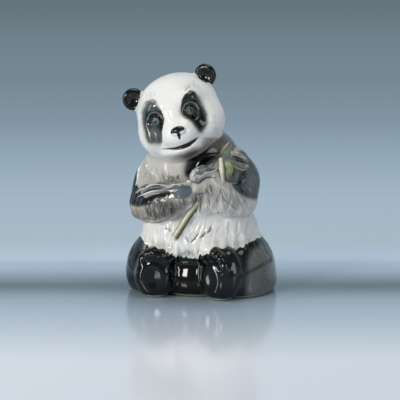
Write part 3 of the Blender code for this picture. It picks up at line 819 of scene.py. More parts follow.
painting = {
    "face": [(150, 92), (205, 80), (214, 120), (196, 146), (166, 152), (146, 138)],
    "leftPatch": [(144.8, 101.5), (150, 99), (156.4, 100.5), (159.1, 106.5), (161.5, 111.8), (163.9, 119.4),
                  (162.8, 125.7), (161.8, 132.8), (162.3, 142), (160.5, 148.5), (153, 150), (147, 146),
                  (143.5, 137), (141, 124), (140.5, 112)],
    "rightPatch": [(190.2, 90), (184.5, 94.4), (181.8, 99.4), (180.8, 106.5), (180.9, 111.8), (183.1, 115.6),
                   (187.8, 119.4), (191.7, 123.3), (195, 128), (198.4, 132.8), (202, 133.5), (206.5, 127.5),
                   (209, 120.4), (208, 113.7), (204.6, 106), (200.3, 97.5), (195.5, 91.5)],
    "leftSleeve": [(146, 158), (140.5, 163), (138.2, 169), (137.2, 177), (136, 184), (139, 188), (141, 193),
                   (145, 198.8), (150, 197), (156, 194.5), (166, 192.5), (160, 197.5), (153, 201), (146, 204),
                   (138, 205), (120, 200), (120, 150)],
    # outline of the right sleeve, painted grey as a reflection
    "rightSleeveSheen": [(232, 178), (240, 172), (248, 166), (246, 158), (236, 150), (262, 150), (275, 185),
                    (262, 199), (254, 201), (246, 198), (238, 193), (233, 186)],
    "hem": [(120, 222), (134, 232), (142, 238), (147, 245), (153, 249), (163, 252), (177, 256.5), (197, 258),
            (213, 252.5), (236, 249), (249, 244.5), (258, 239), (275, 230)],
    # outline of the painted sheen on the right haunch, and the line of painted shade in its crease
    "rightHaunchSheen": [(246, 262), (250, 250), (262, 242), (285, 250), (285, 300), (244, 300), (246, 282)],
    "haunchCreaseShade": [(240, 277), (248, 272.5), (262, 265), (274, 258.5)],
    "mouth": [(161.5, 149.4), (165, 148.6), (168.7, 148), (173.5, 147.6), (181.1, 145.4), (187.8, 142.6),
              (195.5, 138.4), (199, 136.6), (195.4, 141.5), (190.4, 145.8), (185.5, 148.6), (179.2, 150),
              (173.5, 149.8), (168, 149.2)],
    "upperLip": [(161, 149), (173, 148), (181, 145.5), (188, 142.6), (199, 136.6)],
    # line of the painted highlight under the lower lip
    "lowerLipHighlight": [(174.5, 151.2), (183, 150.3), (190.4, 147.2), (196, 142.6)],
    "septum": [(178.8, 134), (179.1, 136.5), (179.5, 138.6)],
    "lids": [[(184, 111), (185.5, 106.5), (189.8, 104.2), (195, 105.8), (197.4, 109.6)],
             [(148.6, 121), (150, 116.6), (154.5, 114.6), (159.5, 116), (161.8, 119.5)]],
    "lidRidges": [[(182.6, 109.5), (185, 104.4), (190, 101.9), (195.4, 104), (198.6, 109)],
                  [(147.4, 119.5), (149.3, 114.8), (154.3, 112.4), (159.6, 114.2), (162.4, 118.5)]],
    # painted highlights along the left sleeve's ridges, standing in for a strip lamp's reflection
    "sleeveHighlights": [([(145.4, 158), (140.8, 163.4), (138.4, 169.1), (137.6, 176.8), (136.2, 184.5)], 0.85),
                     ([(153, 170), (156.4, 175.8), (159.4, 183)], 0.3)],  # with their half-widths in mm
}


def ramp(value, low, high):
    # 0 below low, 1 above high, smooth between
    t = np.clip((value - low) / (high - low), 0, 1)
    return t * t * (3 - 2 * t)


def blot(spots, centre, radii, lean=0):
    # a soft round spot, its first radius turned by the lean in degrees
    a = math.radians(lean)
    x, y = (spots - centre).T
    u, v = x * math.cos(a) + y * math.sin(a), y * math.cos(a) - x * math.sin(a)
    return np.exp(-(u / radii[0]) ** 2 - (v / radii[1]) ** 2)


def insideBy(spots, outline):
    # how far inside a closed outline each spot is, less than 0 outside
    inside = np.zeros(len(spots), bool)
    away = np.full(len(spots), np.inf)
    x, y = spots.T
    corners = np.array(outline, float)
    for a, b in zip(corners, np.roll(corners, -1, axis=0)):
        if a[1] != b[1]:
            crosses = ((a[1] > y) != (b[1] > y)) & (x < (b[0] - a[0]) * (y - a[1]) / (b[1] - a[1]) + a[0])
            inside ^= crosses
        along = b - a
        t = np.clip((spots - a) @ along / (along @ along), 0, 1)
        away = np.minimum(away, np.linalg.norm(spots - a - t[:, None] * along, axis=1))
    return np.where(inside, away, -away)


def storeAttribute(obj, name, values):
    # a number from 0 to 1 at each vertex, which the materials read
    layer = obj.data.attributes.new(name, "FLOAT", "POINT")
    layer.data.foreach_set("value", np.ascontiguousarray(np.clip(values, 0, 1), np.float32))


def paintCasting(obj, ink):
    # works out how much of each colour every vertex carries
    points = toTable(coordinates(obj.data))
    _, y, z = points.T
    local = inHead(points)
    spots, facing = frontView(obj)
    px, py = spots.T
    front = ramp(facing, 0.0, 0.2)
    groups = {"head": headClay(), "body": bodyClay(), "legs": leftLeg() + rightLeg(),
              "arms": leftArm() + rightArm(), "cuffs": cuffs, "hem": hem,
              "ears": [onHead(lump) for side in (-1, 1) for lump in earClay(side)]}
    away = {name: formDistance(points, lumps) for name, lumps in groups.items()}
    isHead = ramp(np.minimum(away["body"], away["arms"]) - away["head"], -0.5, 0.5)
    isLeg = ramp(np.minimum(away["body"], away["hem"]) - away["legs"], 0.05, 0.9) * (z < 60)
    fromArm = np.minimum(away["arms"], away["cuffs"])
    isArm = ramp(np.minimum(away["body"], away["head"]) - fromArm, -0.6, 1.0) * (z > 46)
    wobble = np.interp(px, np.arange(120, 276, 1.7), np.random.default_rng(3).uniform(-2.2, 2.2, 92))
    hemLine = np.interp(px, *np.array(painting["hem"]).T) + wobble

    # legs: black, with a painted sheen, lighter and greener, on the right haunch and foot and a painted light
    # patch on the left haunch, broken by painted shade along the right haunch's crease, and greyer higher up
    # on their sides and back
    belowHem = ramp(py - hemLine, -0.7, 0.7) * front * (y < 0)
    isLeg = np.maximum(isLeg, belowHem)
    haunchSheen = ramp(insideBy(spots, painting["rightHaunchSheen"]), -4, 5)
    sheen = 0.52 * haunchSheen + 0.3 * blot(spots, (239, 274), (6, 15), -28)
    sheen = sheen + 0.42 * blot(spots, (145.5, 245), (5, 7))
    crease, _ = lineDistance(spots, np.array(painting["haunchCreaseShade"]))
    sheen = sheen * (1 - 0.6 * np.exp(-(crease / 1.3) ** 2))
    legSootAndSheen = 0.99 - sheen * front - 0.25 * (1 - front) * ramp(z, 10, 40)

    # arms: black sleeves fading to warm grey fur; the right sleeve is painted mid-grey round a black patch, a
    # painted reflection of a lamp in its glaze
    leftSleeve = insideBy(spots, painting["leftSleeve"])
    leftSoot = ramp(leftSleeve, -0.6 - 5 * ramp(py, 196, 203), 0.8) * (1 - 0.6 * ramp(py, 196, 214))
    leftSoot = np.maximum(leftSoot, 0.5 * blot(spots, (163, 203), (22, 7), 4) + 0.22 * ramp(-py, -190, -182))
    rightSleeveSheen = insideBy(spots, painting["rightSleeveSheen"])
    # painted reflection: the right sleeve grey in place of black, lighter lower down
    rightSootAndSheen = ramp(rightSleeveSheen, -3.5, 3.0) * (0.58 - 0.35 * ramp(py, 194, 206))
    rightSootAndSheen = np.maximum(rightSootAndSheen, 1.35 * blot(spots, (240.4, 187), (12, 5), 46))
    rightSootAndSheen = np.maximum(rightSootAndSheen, 0.9 * blot(spots, (239, 160), (12, 3.2), 18))
    rightSootAndSheen = np.maximum(rightSootAndSheen, 0.36 * blot(spots, (199, 193), (8, 14)))
    aroundSoot = 0.97 * ramp(z, 56, 76) * ramp(-z, -116, -108)
    rightSootAndSheen = np.maximum(rightSootAndSheen, 0.2 * ramp(-py, -203, -188))
    armSootAndSheen = front * np.where(px < 190, leftSoot, rightSootAndSheen) + (1 - front) * aroundSoot
    shoulders = (1 - front) * (1 - isHead) * (1 - isArm) * ramp(z, 84, 96) * 0.95

    # chest: grey, left white in its middle as a painted highlight and darker to its right and low down, with
    # a painted shadow under the chin
    # painted shadow under the chin, running down to the arch leaf
    chinShadow = 1.1 * blot(spots, (201, 160), (13, 5.5), -22) + 0.8 * blot(spots, (190, 172), (5, 4.5), -45)
    chest = front * (1 - isHead) * (1 - isArm) * (1 - isLeg) * (py < 190)
    # the painted highlight in the chest's middle, where the grey is left off
    pale = blot(spots, (172.5, 168), (8.5, 9))
    low = 0.3 * blot(spots, (170, 183), (13, 6))
    chestGreyShadeAndHighlight = chest * (chinShadow + low + 0.3 * ramp(px, 184, 196) + 0.16 * (1 - pale))
    neck = front * (1 - isHead) * ramp(px, 200, 212) * ramp(-py, -172, -158) * 0.3
    chestGreyShadeAndHighlight = np.maximum(chestGreyShadeAndHighlight, neck)

    # head: patches, and painted shade under the jaw, on the right cheek and round the face's edges
    headFront = isHead * front
    left, right = insideBy(spots, painting["leftPatch"]), insideBy(spots, painting["rightPatch"])
    outerLeft = 1 - ramp(px, 154, 161) * ramp(py, 104, 112)
    outerRight = 1 - ramp(-px - 0.5 * py, -248, -238)
    leftEdge = ramp(left, -1.2 - 1.5 * outerLeft, 0.8 + 4.5 * outerLeft) * (1 - 0.75 * ramp(py, 138, 149))
    leftTone = 0.57 + 0.6 * blot(spots, (155, 118), (8.5, 7.5)) + 0.3 * blot(spots, (161.5, 122), (2.2, 12))
    leftPatchTone = leftEdge * (leftTone + 0.08 * blot(spots, (152, 141), (9, 4)))
    rightEdge = ramp(right, -1.2 - 3.0 * outerRight, 1.6 + 5.5 * outerRight)
    rightTone = 0.74 + 0.4 * blot(spots, (190, 111), (9, 9)) + 0.4 * blot(spots, (199, 121), (5, 10), -20)
    rightPatchTone = rightEdge * rightTone
    # painted shade below the lip: under the jaw and on the right cheek
    jawShade = 0.43 * blot(spots, (192, 153), (17, 6), -24) + 0.2 * blot(spots, (168, 156), (16, 3))
    cheekShade = 0.36 * ramp(px + 0.3 * py, 238, 249) * ramp(py, 124, 142)
    lip = np.interp(px, *np.array(painting["upperLip"]).T)
    belowLipShade = np.maximum(jawShade, cheekShade) * ramp(py - lip, -0.5, 1.5)
    # painted shade growing towards the head's edges outside the face
    rim = 0.1 * ramp(-insideBy(spots, painting["face"]), 0, 12)
    headSootAndShade = headFront * np.maximum.reduce([leftPatchTone, rightPatchTone, belowLipShade, rim])
    ears = isHead * ramp(-away["ears"], -1.0, 0.1)
    ears = ears * ramp(np.abs(local[:, 0] + 1), 20.5, 22.0) * ramp(local[:, 2], 8, 11)
    # black and grey underglaze together with the painted shade, less black where a painted sheen falls
    sootShadeAndSheen = np.maximum.reduce([headSootAndShade, ears, isLeg * legSootAndSheen, isArm * armSootAndSheen, shoulders,
                              chestGreyShadeAndHighlight * (1 - isLeg)])

    # warm grey fur with a faint warm painted shade on the belly, blue-grey painted reflections and
    # highlights, the near paw over the left sleeve, black with a painted bluish highlight, and a painted
    # shadow of the leaves across the left sleeve
    armWarm = np.where(px < 190, 0.85 - 0.5 * ramp(-py, -190, -182), 0.5 - 0.2 * ramp(py, 195, 208))
    warm = 0.4 * chest + isArm * front * armWarm + isArm * (1 - front) * 0.7
    # faint painted shade on the belly, which the lamps reach less
    bellyShade = (1 - isHead) * (1 - isLeg) * (1 - isArm) * ramp(py, 200, 215) * front
    warm = np.maximum(warm, 0.04 * bellyShade)
    # painted reflections: blue-grey below the left eye, with a lilac-grey fade at that patch's top, and a
    # light streak at the right eye's outer corner
    leftCoolAndSheen = 0.55 * blot(spots, (150, 106), (7, 4.5)) + 0.9 * blot(spots, (153.5, 131), (4.5, 5))
    rightPatchHighlight = 0.5 * blot(spots, (197.6, 112), (2, 4.5), -10)
    # painted reflection on the right shoulder and a painted bluish highlight on the left forearm
    armSheen = 0.9 * blot(spots, (252, 180), (9, 16)) + blot(spots, (157.5, 200.5), (4, 2.5), -25)
    # the paw's back painted slate-blue over black, a painted highlight
    pawSheen = ramp(-np.hypot((px - 181) / 11.5, (py - 191.5) / 7.5), -1.08, -0.9) * (py > 185.5) * front * isArm
    # the cool painted reflections together: on the patches, the arms, the paw and the right haunch
    coolTintAndSheen = (leftEdge * leftCoolAndSheen + rightEdge * rightPatchHighlight) * headFront
    coolTintAndSheen = coolTintAndSheen + isArm * front * armSheen + 0.8 * pawSheen + 0.3 * haunchSheen * isLeg * front
    sootShadeAndSheen = np.maximum(sootShadeAndSheen, pawSheen * (0.62 + 0.38 * ramp(-py, -191, -186)))
    # painted shadow cast by the leaves across the left sleeve
    sootShadeAndSheen = np.maximum(sootShadeAndSheen, front * isArm * blot(spots, (166, 194.5), (24, 2.2), -19))

    storeAttribute(obj, "sootShadeAndSheen", sootShadeAndSheen)
    storeAttribute(obj, "warmGrey", warm)
    storeAttribute(obj, "coolGreyAndSheen", coolTintAndSheen)
    storeAttribute(obj, "ink", ink * (1 - 0.7 * ramp(py, 258, 262) * front))
    storeAttribute(obj, "crispBlack", headFront * mouthInk(spots))
    storeAttribute(obj, "paleRimAndHighlight", paleRimsAndHighlights(points, headFront, spots))
    storeAttribute(obj, "bareFoot", ramp(-z, -2.1, -1.4))
    print("paint masks stored")


def mouthInk(spots):
    # the open mouth, the stroke down from the nose and the lids' dark rims
    found = ramp(insideBy(spots, painting["mouth"]), -0.5, 0.35)
    septum, share = lineDistance(spots, np.array(painting["septum"]))
    found = np.maximum(found, ramp(1.6 - 0.5 * share - septum, -0.4, 0.4))
    for lid in painting["lids"]:
        near, _ = lineDistance(spots, eased(lid))
        found = np.maximum(found, ramp(1.0 - near, -0.5, 0.5))
    return found


def paleRimsAndHighlights(points, headFront, spots):
    # pale lines: painted highlights along the left sleeve's ridges and under the lower lip, standing in for
    # lamps seen in the glaze, and lighter rims over the lids
    found = np.zeros(len(points))
    for line, width in painting["sleeveHighlights"]:
        near, share = lineDistance(points, seenLine(line))
        taper = np.sin(np.pi * np.clip(share, 0.1, 0.9)) ** 0.3
        found = np.maximum(found, ramp(width * taper - near, -0.3, 0.25))
    lip, _ = lineDistance(spots, np.array(painting["lowerLipHighlight"]))
    found = np.maximum(found, headFront * ramp(0.8 - lip, -0.5, 0.3))
    for lid in painting["lidRidges"]:
        near, _ = lineDistance(spots, eased(lid))
        found = np.maximum(found, 0.22 * headFront * ramp(0.7 - near, -0.6, 0.4))
    return found


# materials


def linear(hexColour):
    # an sRGB hex colour as the linear values that a shader reads
    values = [int(hexColour[i:i + 2], 16) / 255 for i in (1, 3, 5)]
    return [v / 12.92 if v <= 0.04045 else ((v + 0.055) / 1.055) ** 2.4 for v in values] + [1]


def addNode(tree, kind, links=(), values=(), **settings):
    # links are (own input, other node, its output), and values are (own input, value)
    node = tree.nodes.new("ShaderNode" + kind)
    for name, value in settings.items():
        setattr(node, name, value)
    for name, value in values:
        node.inputs[name].default_value = value
    for own, other, output in links:
        tree.links.new(other.outputs[output], node.inputs[own])
    return node


def newMaterial(name, **values):
    # a new material, its node tree and its shader with those values
    material = bpy.data.materials.new(name)
    material.use_nodes = True
    shader = material.node_tree.nodes["Principled BSDF"]
    for socket, value in values.items():
        shader.inputs[socket].default_value = value
    return material, material.node_tree, shader


def stopsOf(tree, source, output, stops):
    # a colour ramp with those stops, read at the source's value
    node = addNode(tree, "ValToRGB", [("Fac", source, output)])
    elements = node.color_ramp.elements
    elements.remove(elements[-1])
    elements[0].position, elements[0].color = stops[0][0], linear(stops[0][1])
    for place, colour in stops[1:]:
        elements.new(place).color = linear(colour)
    return node


def clouds(tree, place, size, detail):
    # noise in the piece's own space, its blotches that many mm across
    values = [("Scale", 1000 / size), ("Detail", detail)]
    return addNode(tree, "TexNoise", [("Vector", place, "Object")], values)


def spread(tree, source, output, low, high, start=0.0, end=1.0):
    # the source's values from start to end, spread from low to high
    values = [("From Min", start), ("From Max", end), ("To Min", low), ("To Max", high)]
    return addNode(tree, "MapRange", [("Value", source, output)], values)


def combined(tree, operation, a, b):
    # each of the two is a node and its output
    return addNode(tree, "Math", [(0, *a), (1, *b)], operation=operation)


def wavered(tree, source, output, noise, much):
    # the source's value, shifted to and fro by the noise
    shift = spread(tree, noise, "Fac", -much, much)
    return combined(tree, "ADD", (source, output), (shift, "Result"))


def raised(tree, shader, source, strength, distance):
    # the shader's surface raised and lowered by the source
    values = [("Strength", strength), ("Distance", distance)]
    bump = addNode(tree, "Bump", [("Height", source, "Fac")], values)
    tree.links.new(bump.outputs["Normal"], shader.inputs["Normal"])


glaze = {
    "white": "#EFEEEA",
    "warm": "#80766A",
    # blue-grey of the painted reflections, and of the left patch's lilac-grey top
    "coolTintAndSheen": "#76848F",
    "sootStops": [(0.0, "#ECEBE7"), (0.2, "#A9A79F"), (0.42, "#6B6A62"), (0.62, "#3C403C"),
                  (0.8, "#151A19"), (1.0, "#040606")],
    "ink": "#1D1A16",
    "black": "#040404",
    # white of the lids' pale rims and of the painted highlights
    "pale": "#F7F5EF",
    "bareClay": "#CFC8BA",
    "roughness": 0.06,
    "ior": 1.5,
    "mottle": 2.4,  # mm across a blotch of air-brushed colour
    "speck": 0.5,  # mm across the air brush's grain, as coarse as it needs to show
    "ripple": 9.0,  # mm between the glaze's slow waves
}


def paintedPorcelain():
    # slip-cast porcelain, air-brushed and brushed in underglaze colours under a clear gloss glaze:
    # soft clouds of soot over crisp white, and mirror-like highlights that waver a little
    # its colours also hold painted shade, painted highlights and painted reflections
    material, tree, shader = newMaterial("glazedPaintedPorcelain", Roughness=glaze["roughness"],
                                         IOR=glaze["ior"])
    place = addNode(tree, "TexCoord")
    masks = {name: addNode(tree, "Attribute", attribute_name=name)
             for name in ("sootShadeAndSheen", "warmGrey", "coolGreyAndSheen", "ink", "crispBlack", "paleRimAndHighlight", "bareFoot")}
    blotches = spread(tree, clouds(tree, place, glaze["mottle"], 4.0), "Fac", -0.035, 0.035, 0.3, 0.7)
    specks = spread(tree, clouds(tree, place, glaze["speck"], 1.0), "Fac", -0.02, 0.02, 0.3, 0.7)
    both = combined(tree, "ADD", (blotches, "Result"), (specks, "Result"))
    where = spread(tree, masks["sootShadeAndSheen"], "Fac", 0.0, 1.0, 0.0, 0.25)
    shift = combined(tree, "MULTIPLY", (both, "Value"), (where, "Result"))
    amount = combined(tree, "ADD", (masks["sootShadeAndSheen"], "Fac"), (shift, "Value"))
    sootShadeAndSheen = stopsOf(tree, amount, "Value", glaze["sootStops"])
    layers = addNode(tree, "Mix", [(0, masks["warmGrey"], "Fac")],
                     [(6, linear(glaze["white"])), (7, linear(glaze["warm"]))], data_type="RGBA")
    cover = spread(tree, amount, "Value", 0.0, 1.0, 0.02, 0.45)
    layers = addNode(tree, "Mix", [(0, cover, "Result"), (6, layers, 2), (7, sootShadeAndSheen, "Color")],
                     data_type="RGBA")
    tint = addNode(tree, "Math", [(0, masks["coolGreyAndSheen"], "Fac")], [(1, 0.62)], operation="MULTIPLY")
    washes = [(tint, "Value", "coolTintAndSheen"), (masks["ink"], "Fac", "ink"), (masks["crispBlack"], "Fac", "black"),
              (masks["paleRimAndHighlight"], "Fac", "pale"), (masks["bareFoot"], "Fac", "bareClay")]
    for mask, output, colour in washes:
        layers = addNode(tree, "Mix", [(0, mask, output), (6, layers, 2)], [(7, linear(glaze[colour]))],
                         data_type="RGBA")
    tree.links.new(layers.outputs[2], shader.inputs["Base Color"])
    raised(tree, shader, clouds(tree, place, glaze["ripple"], 1.0), 0.1, 0.001)
    return material


# leaves and stalk, laid over the ones in the casting

leafLooks = {
    # name: colours of its dark lines, its body and its rim and midrib
    # the near-white rims of the next two leaves are painted highlights, a lamp's reflection along their edges
    "leafLeftUpper": ("#1F211F", "#6F6E66", "#F6F4EF"),
    "leafLeftLower": ("#101312", "#4A4C47", "#FBFAF6"),
    "leafArch": ("#20282B", "#5C6C74", "#C9C3B2"),
    "leafDark": ("#12181A", "#2B3331", "#7E8470"),
    "leafFan": ("#3E422B", "#676C4A", "#A3A98A"),
    "leafShoulder": ("#5E6348", "#7C8264", "#D9D3BC"),
    "leafCream": ("#A59B84", "#C2B9A4", "#E4DCCB"),
    "leafOlive": ("#6F7A4C", "#A0AB74", "#C9C7B0"),
}


leafRelief = {
    "along": 40, "across": 14,  # cells of its grid
    "rim": 0.3, "midrib": 0.25, "vein": 0.12,  # mm that each stands up or is sunk by
    "proud": 0.2,  # mm over the casting
    "wall": 0.0007,  # metres
}


def leafPiece(name, lump):
    # a long grid laid along the leaf's line, its rim and midrib raised, then given a thickness
    obj = added(name, bpy.ops.mesh.primitive_grid_add, x_subdivisions=leafRelief["along"],
                y_subdivisions=leafRelief["across"], size=2)
    flat = coordinates(obj.data)
    u, v = (flat[:, 0] + 1) / 2, flat[:, 1]
    line = asArray(lump["line"])
    way = alongLine(line, u + 0.02) - alongLine(line, u - 0.02)
    side = unitRows(np.cross(way, alongLine(asArray(lump["facings"]), u)))
    facing = unitRows(np.cross(side, way))
    wide = np.interp(u, np.linspace(0, 1, len(line)), lump["halfWidths"])
    ends = np.sin(np.pi * np.clip(u, 0.02, 0.98)) ** 0.5
    high = lump["thickness"] * np.sqrt(np.maximum(1 - 0.92 * v**2, 0)) * ends + leafRelief["proud"]
    high += leafRelief["rim"] * np.exp(-((np.abs(v) - 0.88) / 0.1) ** 2)
    high += leafRelief["midrib"] * np.exp(-(v / 0.09) ** 2)
    high -= leafRelief["vein"] * np.cos(v * 22) * (1 - v**2)
    points = alongLine(line, u) + side * (wide * v)[:, None] + facing * high[:, None]
    setCoordinates(obj.data, toMetres(points))
    obj.data.shade_smooth()
    onlySelect(obj)
    if outwardShare(obj) < 0:
        bpy.ops.object.mode_set(mode="EDIT")
        bpy.ops.mesh.select_all(action="SELECT")
        bpy.ops.mesh.flip_normals()
        bpy.ops.object.mode_set(mode="OBJECT")
    applyModifier(obj, "SOLIDIFY", thickness=leafRelief["wall"], offset=-1)
    return obj


def outwardShare(obj):
    # above 0 where the leaf's faces look away from the figure's axis
    return float((normals(obj.data) * coordinates(obj.data) * (1, 1, 0)).sum())


def leafMaterial(name, colours):
    # the same porcelain, its leaf washed with colour, paler on its raised rim and midrib: cream on most
    # leaves, and near white on the two over the left sleeve as a painted highlight
    material, tree, shader = newMaterial(name, Roughness=glaze["roughness"], IOR=glaze["ior"])
    uv = addNode(tree, "TexCoord")
    parts = addNode(tree, "SeparateXYZ", [("Vector", uv, "UV")])
    centred = spread(tree, parts, "Y", -1.0, 1.0)
    across = addNode(tree, "Math", [(0, centred, "Result")], operation="ABSOLUTE")
    spot = wavered(tree, across, "Value", clouds(tree, uv, 1.6, 3.0), 0.05)
    dark, body, rim = colours
    colour = stopsOf(tree, spot, "Value", [(0.0, rim), (0.07, dark), (0.3, body), (0.62, dark), (0.72, dark),
                                           (0.8, rim), (1.0, rim)])  # from the midrib to the edge
    veins = addNode(tree, "TexWave", [("Vector", uv, "UV")], [("Scale", 4.0), ("Distortion", 0.6)],
                    bands_direction="Y")
    raised(tree, shader, veins, 0.25, 0.0004)
    # the rim and lines fade to plain towards the stem, so the painted highlight shows only towards the tip
    fade = spread(tree, parts, "X", 0.0, 1.0, 0.1, 0.6)  # plain at the stem
    faded = addNode(tree, "Mix", [(0, fade, "Result"), (7, colour, "Color")], [(6, linear(body))],
                    data_type="RGBA")
    tree.links.new(faded.outputs[2], shader.inputs["Base Color"])
    return material


cane = {
    "around": 20, "along": 36,  # cells
    "rings": 3,  # swollen nodes
    "swell": 0.25,  # mm that each swells by
    "proud": 0.4,  # mm over the casting
}
caneLooks = {
    # colours from its left edge to its right
    "bambooStalk": ("#54563C", "#BDB98F", "#E3DCCB", "#A9A67C", "#3E402B"),
    "bambooSheath": ("#5A5A45", "#BDB3A2", "#E8E0D5", "#BDB3A0", "#5F5F48"),
}


def rodPiece(name, lump):
    # a closed tube along the roll's line, with swollen nodes as bamboo has
    obj = added(name, bpy.ops.mesh.primitive_cylinder_add, vertices=cane["around"], radius=1, depth=2)
    bpy.ops.object.mode_set(mode="EDIT")
    bpy.ops.mesh.select_all(action="DESELECT")
    bpy.ops.mesh.select_mode(type="EDGE")
    bpy.ops.object.mode_set(mode="OBJECT")
    ends = edgeEnds(obj.data)
    flat = coordinates(obj.data)
    obj.data.edges.foreach_set("select", np.abs(flat[ends[:, 0], 2] - flat[ends[:, 1], 2]) > 1)
    bpy.ops.object.mode_set(mode="EDIT")
    bpy.ops.mesh.subdivide_edgering(number_cuts=cane["along"], interpolation="LINEAR")
    bpy.ops.object.mode_set(mode="OBJECT")
    flat = coordinates(obj.data)
    u = (flat[:, 2] + 1) / 2
    line = asArray(lump["line"])
    way = alongLine(line, u + 0.03) - alongLine(line, u - 0.03)
    side = unitRows(np.cross(way, (0, -1, 0.2)))
    front = unitRows(np.cross(side, way))
    rings = np.exp(-(((u * cane["rings"]) % 1 - 0.5) / 0.07) ** 2)
    radius = np.interp(u, np.linspace(0, 1, len(line)), lump["thickness"])
    radius += cane["proud"] + cane["swell"] * rings
    section = side * flat[:, :1] + front * flat[:, 1:2]
    setCoordinates(obj.data, toMetres(alongLine(line, u) + section * radius[:, None]))
    onlySelect(obj)
    bpy.ops.object.mode_set(mode="EDIT")
    bpy.ops.mesh.select_all(action="SELECT")
    bpy.ops.mesh.normals_make_consistent(inside=False)
    bpy.ops.object.mode_set(mode="OBJECT")
    bpy.ops.object.shade_smooth_by_angle(angle=math.radians(50))
    storeAttribute(obj, "alongStalk", u)
    storeAttribute(obj, "aroundStalk", (flat[:, 0] + 1) / 2)
    return obj


def caneMaterial(name, colours):
    # bamboo cane in glazed porcelain, lightest down its middle as a painted highlight and darker towards its
    # two edges
    material, tree, shader = newMaterial(name, Roughness=glaze["roughness"], IOR=glaze["ior"])
    place = addNode(tree, "TexCoord")
    around = addNode(tree, "Attribute", attribute_name="aroundStalk")
    noise = clouds(tree, place, 1.5, 3.0)
    spot = wavered(tree, around, "Fac", noise, 0.1)
    colour = stopsOf(tree, spot, "Value", list(zip((0.05, 0.2, 0.42, 0.65, 0.9), colours)))
    tree.links.new(colour.outputs["Color"], shader.inputs["Base Color"])
    raised(tree, shader, noise, 0.15, 0.0003)
    return material


# eyes and nose

eyeLook = {
    "radius": 4.1, "depth": 2.4, "sunk": 1.0,  # mm, as for the nose
    "rings": [(0.0, "#020303"), (0.3, "#020303"), (0.36, "#76867F"), (0.46, "#5C6C67"), (0.51, "#1C2423"),
              (0.56, "#1C2423"), (0.61, "#66776F"), (0.73, "#51615D"), (0.79, "#0A0D0D"), (1.0, "#050707")],
    "roughness": 0.03,
}
noseLook = {
    "size": (5.6, 3.4, 3.7),
    "sunk": 0.5,
    "nostril": 1.0,  # mm deep
    "tones": [(0.3, "#060505"), (0.8, "#1B1918")],
    "roughness": 0.08,
}


def eyePiece(name, side):
    # a flattened glazed dome, its rings painted by the distance from the pupil
    skin, under = laid([eyeSpots[side]] * 2, faceClay(), [0, -1])
    out = (headTurn.to_matrix() @ (skin - under)).normalized()
    centre = headCentre + headTurn.to_matrix() @ skin - out * eyeLook["sunk"]
    obj = added(name, bpy.ops.mesh.primitive_uv_sphere_add, segments=48, ring_count=32, radius=1)
    flat = coordinates(obj.data)
    fromPupil = np.hypot(flat[:, 0], flat[:, 1]) + (flat[:, 2] < 0)
    dome = flat * (eyeLook["radius"], eyeLook["radius"], eyeLook["depth"])
    turn = out.to_track_quat("Z", "Y").to_matrix()
    setCoordinates(obj.data, toMetres(dome @ np.array(turn).T + np.array(centre)))
    obj.data.shade_smooth()
    storeAttribute(obj, "fromPupil", fromPupil)
    return obj


def eyeMaterial():
    # eye painted in black and sea-grey rings under glaze, which gives it a wet glint
    material, tree, shader = newMaterial("glazedPaintedEye", Roughness=eyeLook["roughness"], IOR=glaze["ior"])
    place = addNode(tree, "TexCoord")
    ring = addNode(tree, "Attribute", attribute_name="fromPupil")
    spot = wavered(tree, ring, "Fac", clouds(tree, place, 0.7, 2.0), 0.05)
    colour = stopsOf(tree, spot, "Value", eyeLook["rings"])
    tree.links.new(colour.outputs["Color"], shader.inputs["Base Color"])
    return material


def nosePiece():
    # broad above, narrow below, with a nostril pressed in on each side
    obj = added("nose", bpy.ops.mesh.primitive_uv_sphere_add, segments=64, ring_count=40, radius=1)
    points = coordinates(obj.data) * noseLook["size"]
    x, y, z = points.T
    points[:, 0] = x * (1 - 0.42 * ramp(-z, -0.6, noseLook["size"][2]))
    points[:, 1] = y - 0.35 * ramp(z, -2, 2) * (y < 0)
    for side in (-1, 1):
        gap = np.hypot((points[:, 0] - 2.7 * side) / 1.5, (z + 1.2) / 0.8)
        points[:, 1] += noseLook["nostril"] * np.exp(-gap**2) * (y < 0)
    skin = laid([noseSpot], faceClay(), [-noseLook["sunk"]])[0]
    turned = np.array(headTurn.to_matrix())
    setCoordinates(obj.data, toMetres((points + np.array(skin)) @ turned.T + np.array(headCentre)))
    obj.data.shade_smooth()
    return obj


def noseMaterial():
    # nose brushed in thick black underglaze, which pools glossy and a little uneven
    material, tree, shader = newMaterial("glazedBlackNose", Roughness=noseLook["roughness"], IOR=glaze["ior"])
    noise = clouds(tree, addNode(tree, "TexCoord"), 1.2, 3.0)
    colour = stopsOf(tree, noise, "Fac", noseLook["tones"])
    tree.links.new(colour.outputs["Color"], shader.inputs["Base Color"])
    raised(tree, shader, noise, 0.12, 0.0003)
    return material


# floor, backdrop and lights

lights = {
    # name: spot in metres, size, watts, colour
    "keyBox": ((-0.65, -1.35, 0.62), (0.34, 0.42), 9.5, "#FFFCF6"),
    "sideStrip": ((-0.85, -0.5, 0.3), (0.08, 0.6), 3, "#FFFFFF"),
    "rightPanel": ((1.0, -0.6, 0.45), (0.4, 0.7), 3.5, "#DFE4E8"),
    "topBox": ((0.1, 0.0, 1.2), (0.7, 0.7), 4, "#FFFFFF"),
}


def tableStops(tones):
    # picture heights as shares of the way from the wall to the table's near end
    a = math.radians(studio["azimuth"])
    behind = Vector((-math.sin(a), math.cos(a), 0))
    found = []
    for py, colour in tones:
        place, way = rayThrough(studio["half"], py)
        hit = place - way * (place.z / way.z)
        found.append(((studio["wallAt"] - hit.dot(behind)) / studio["graded"], colour))
    return found


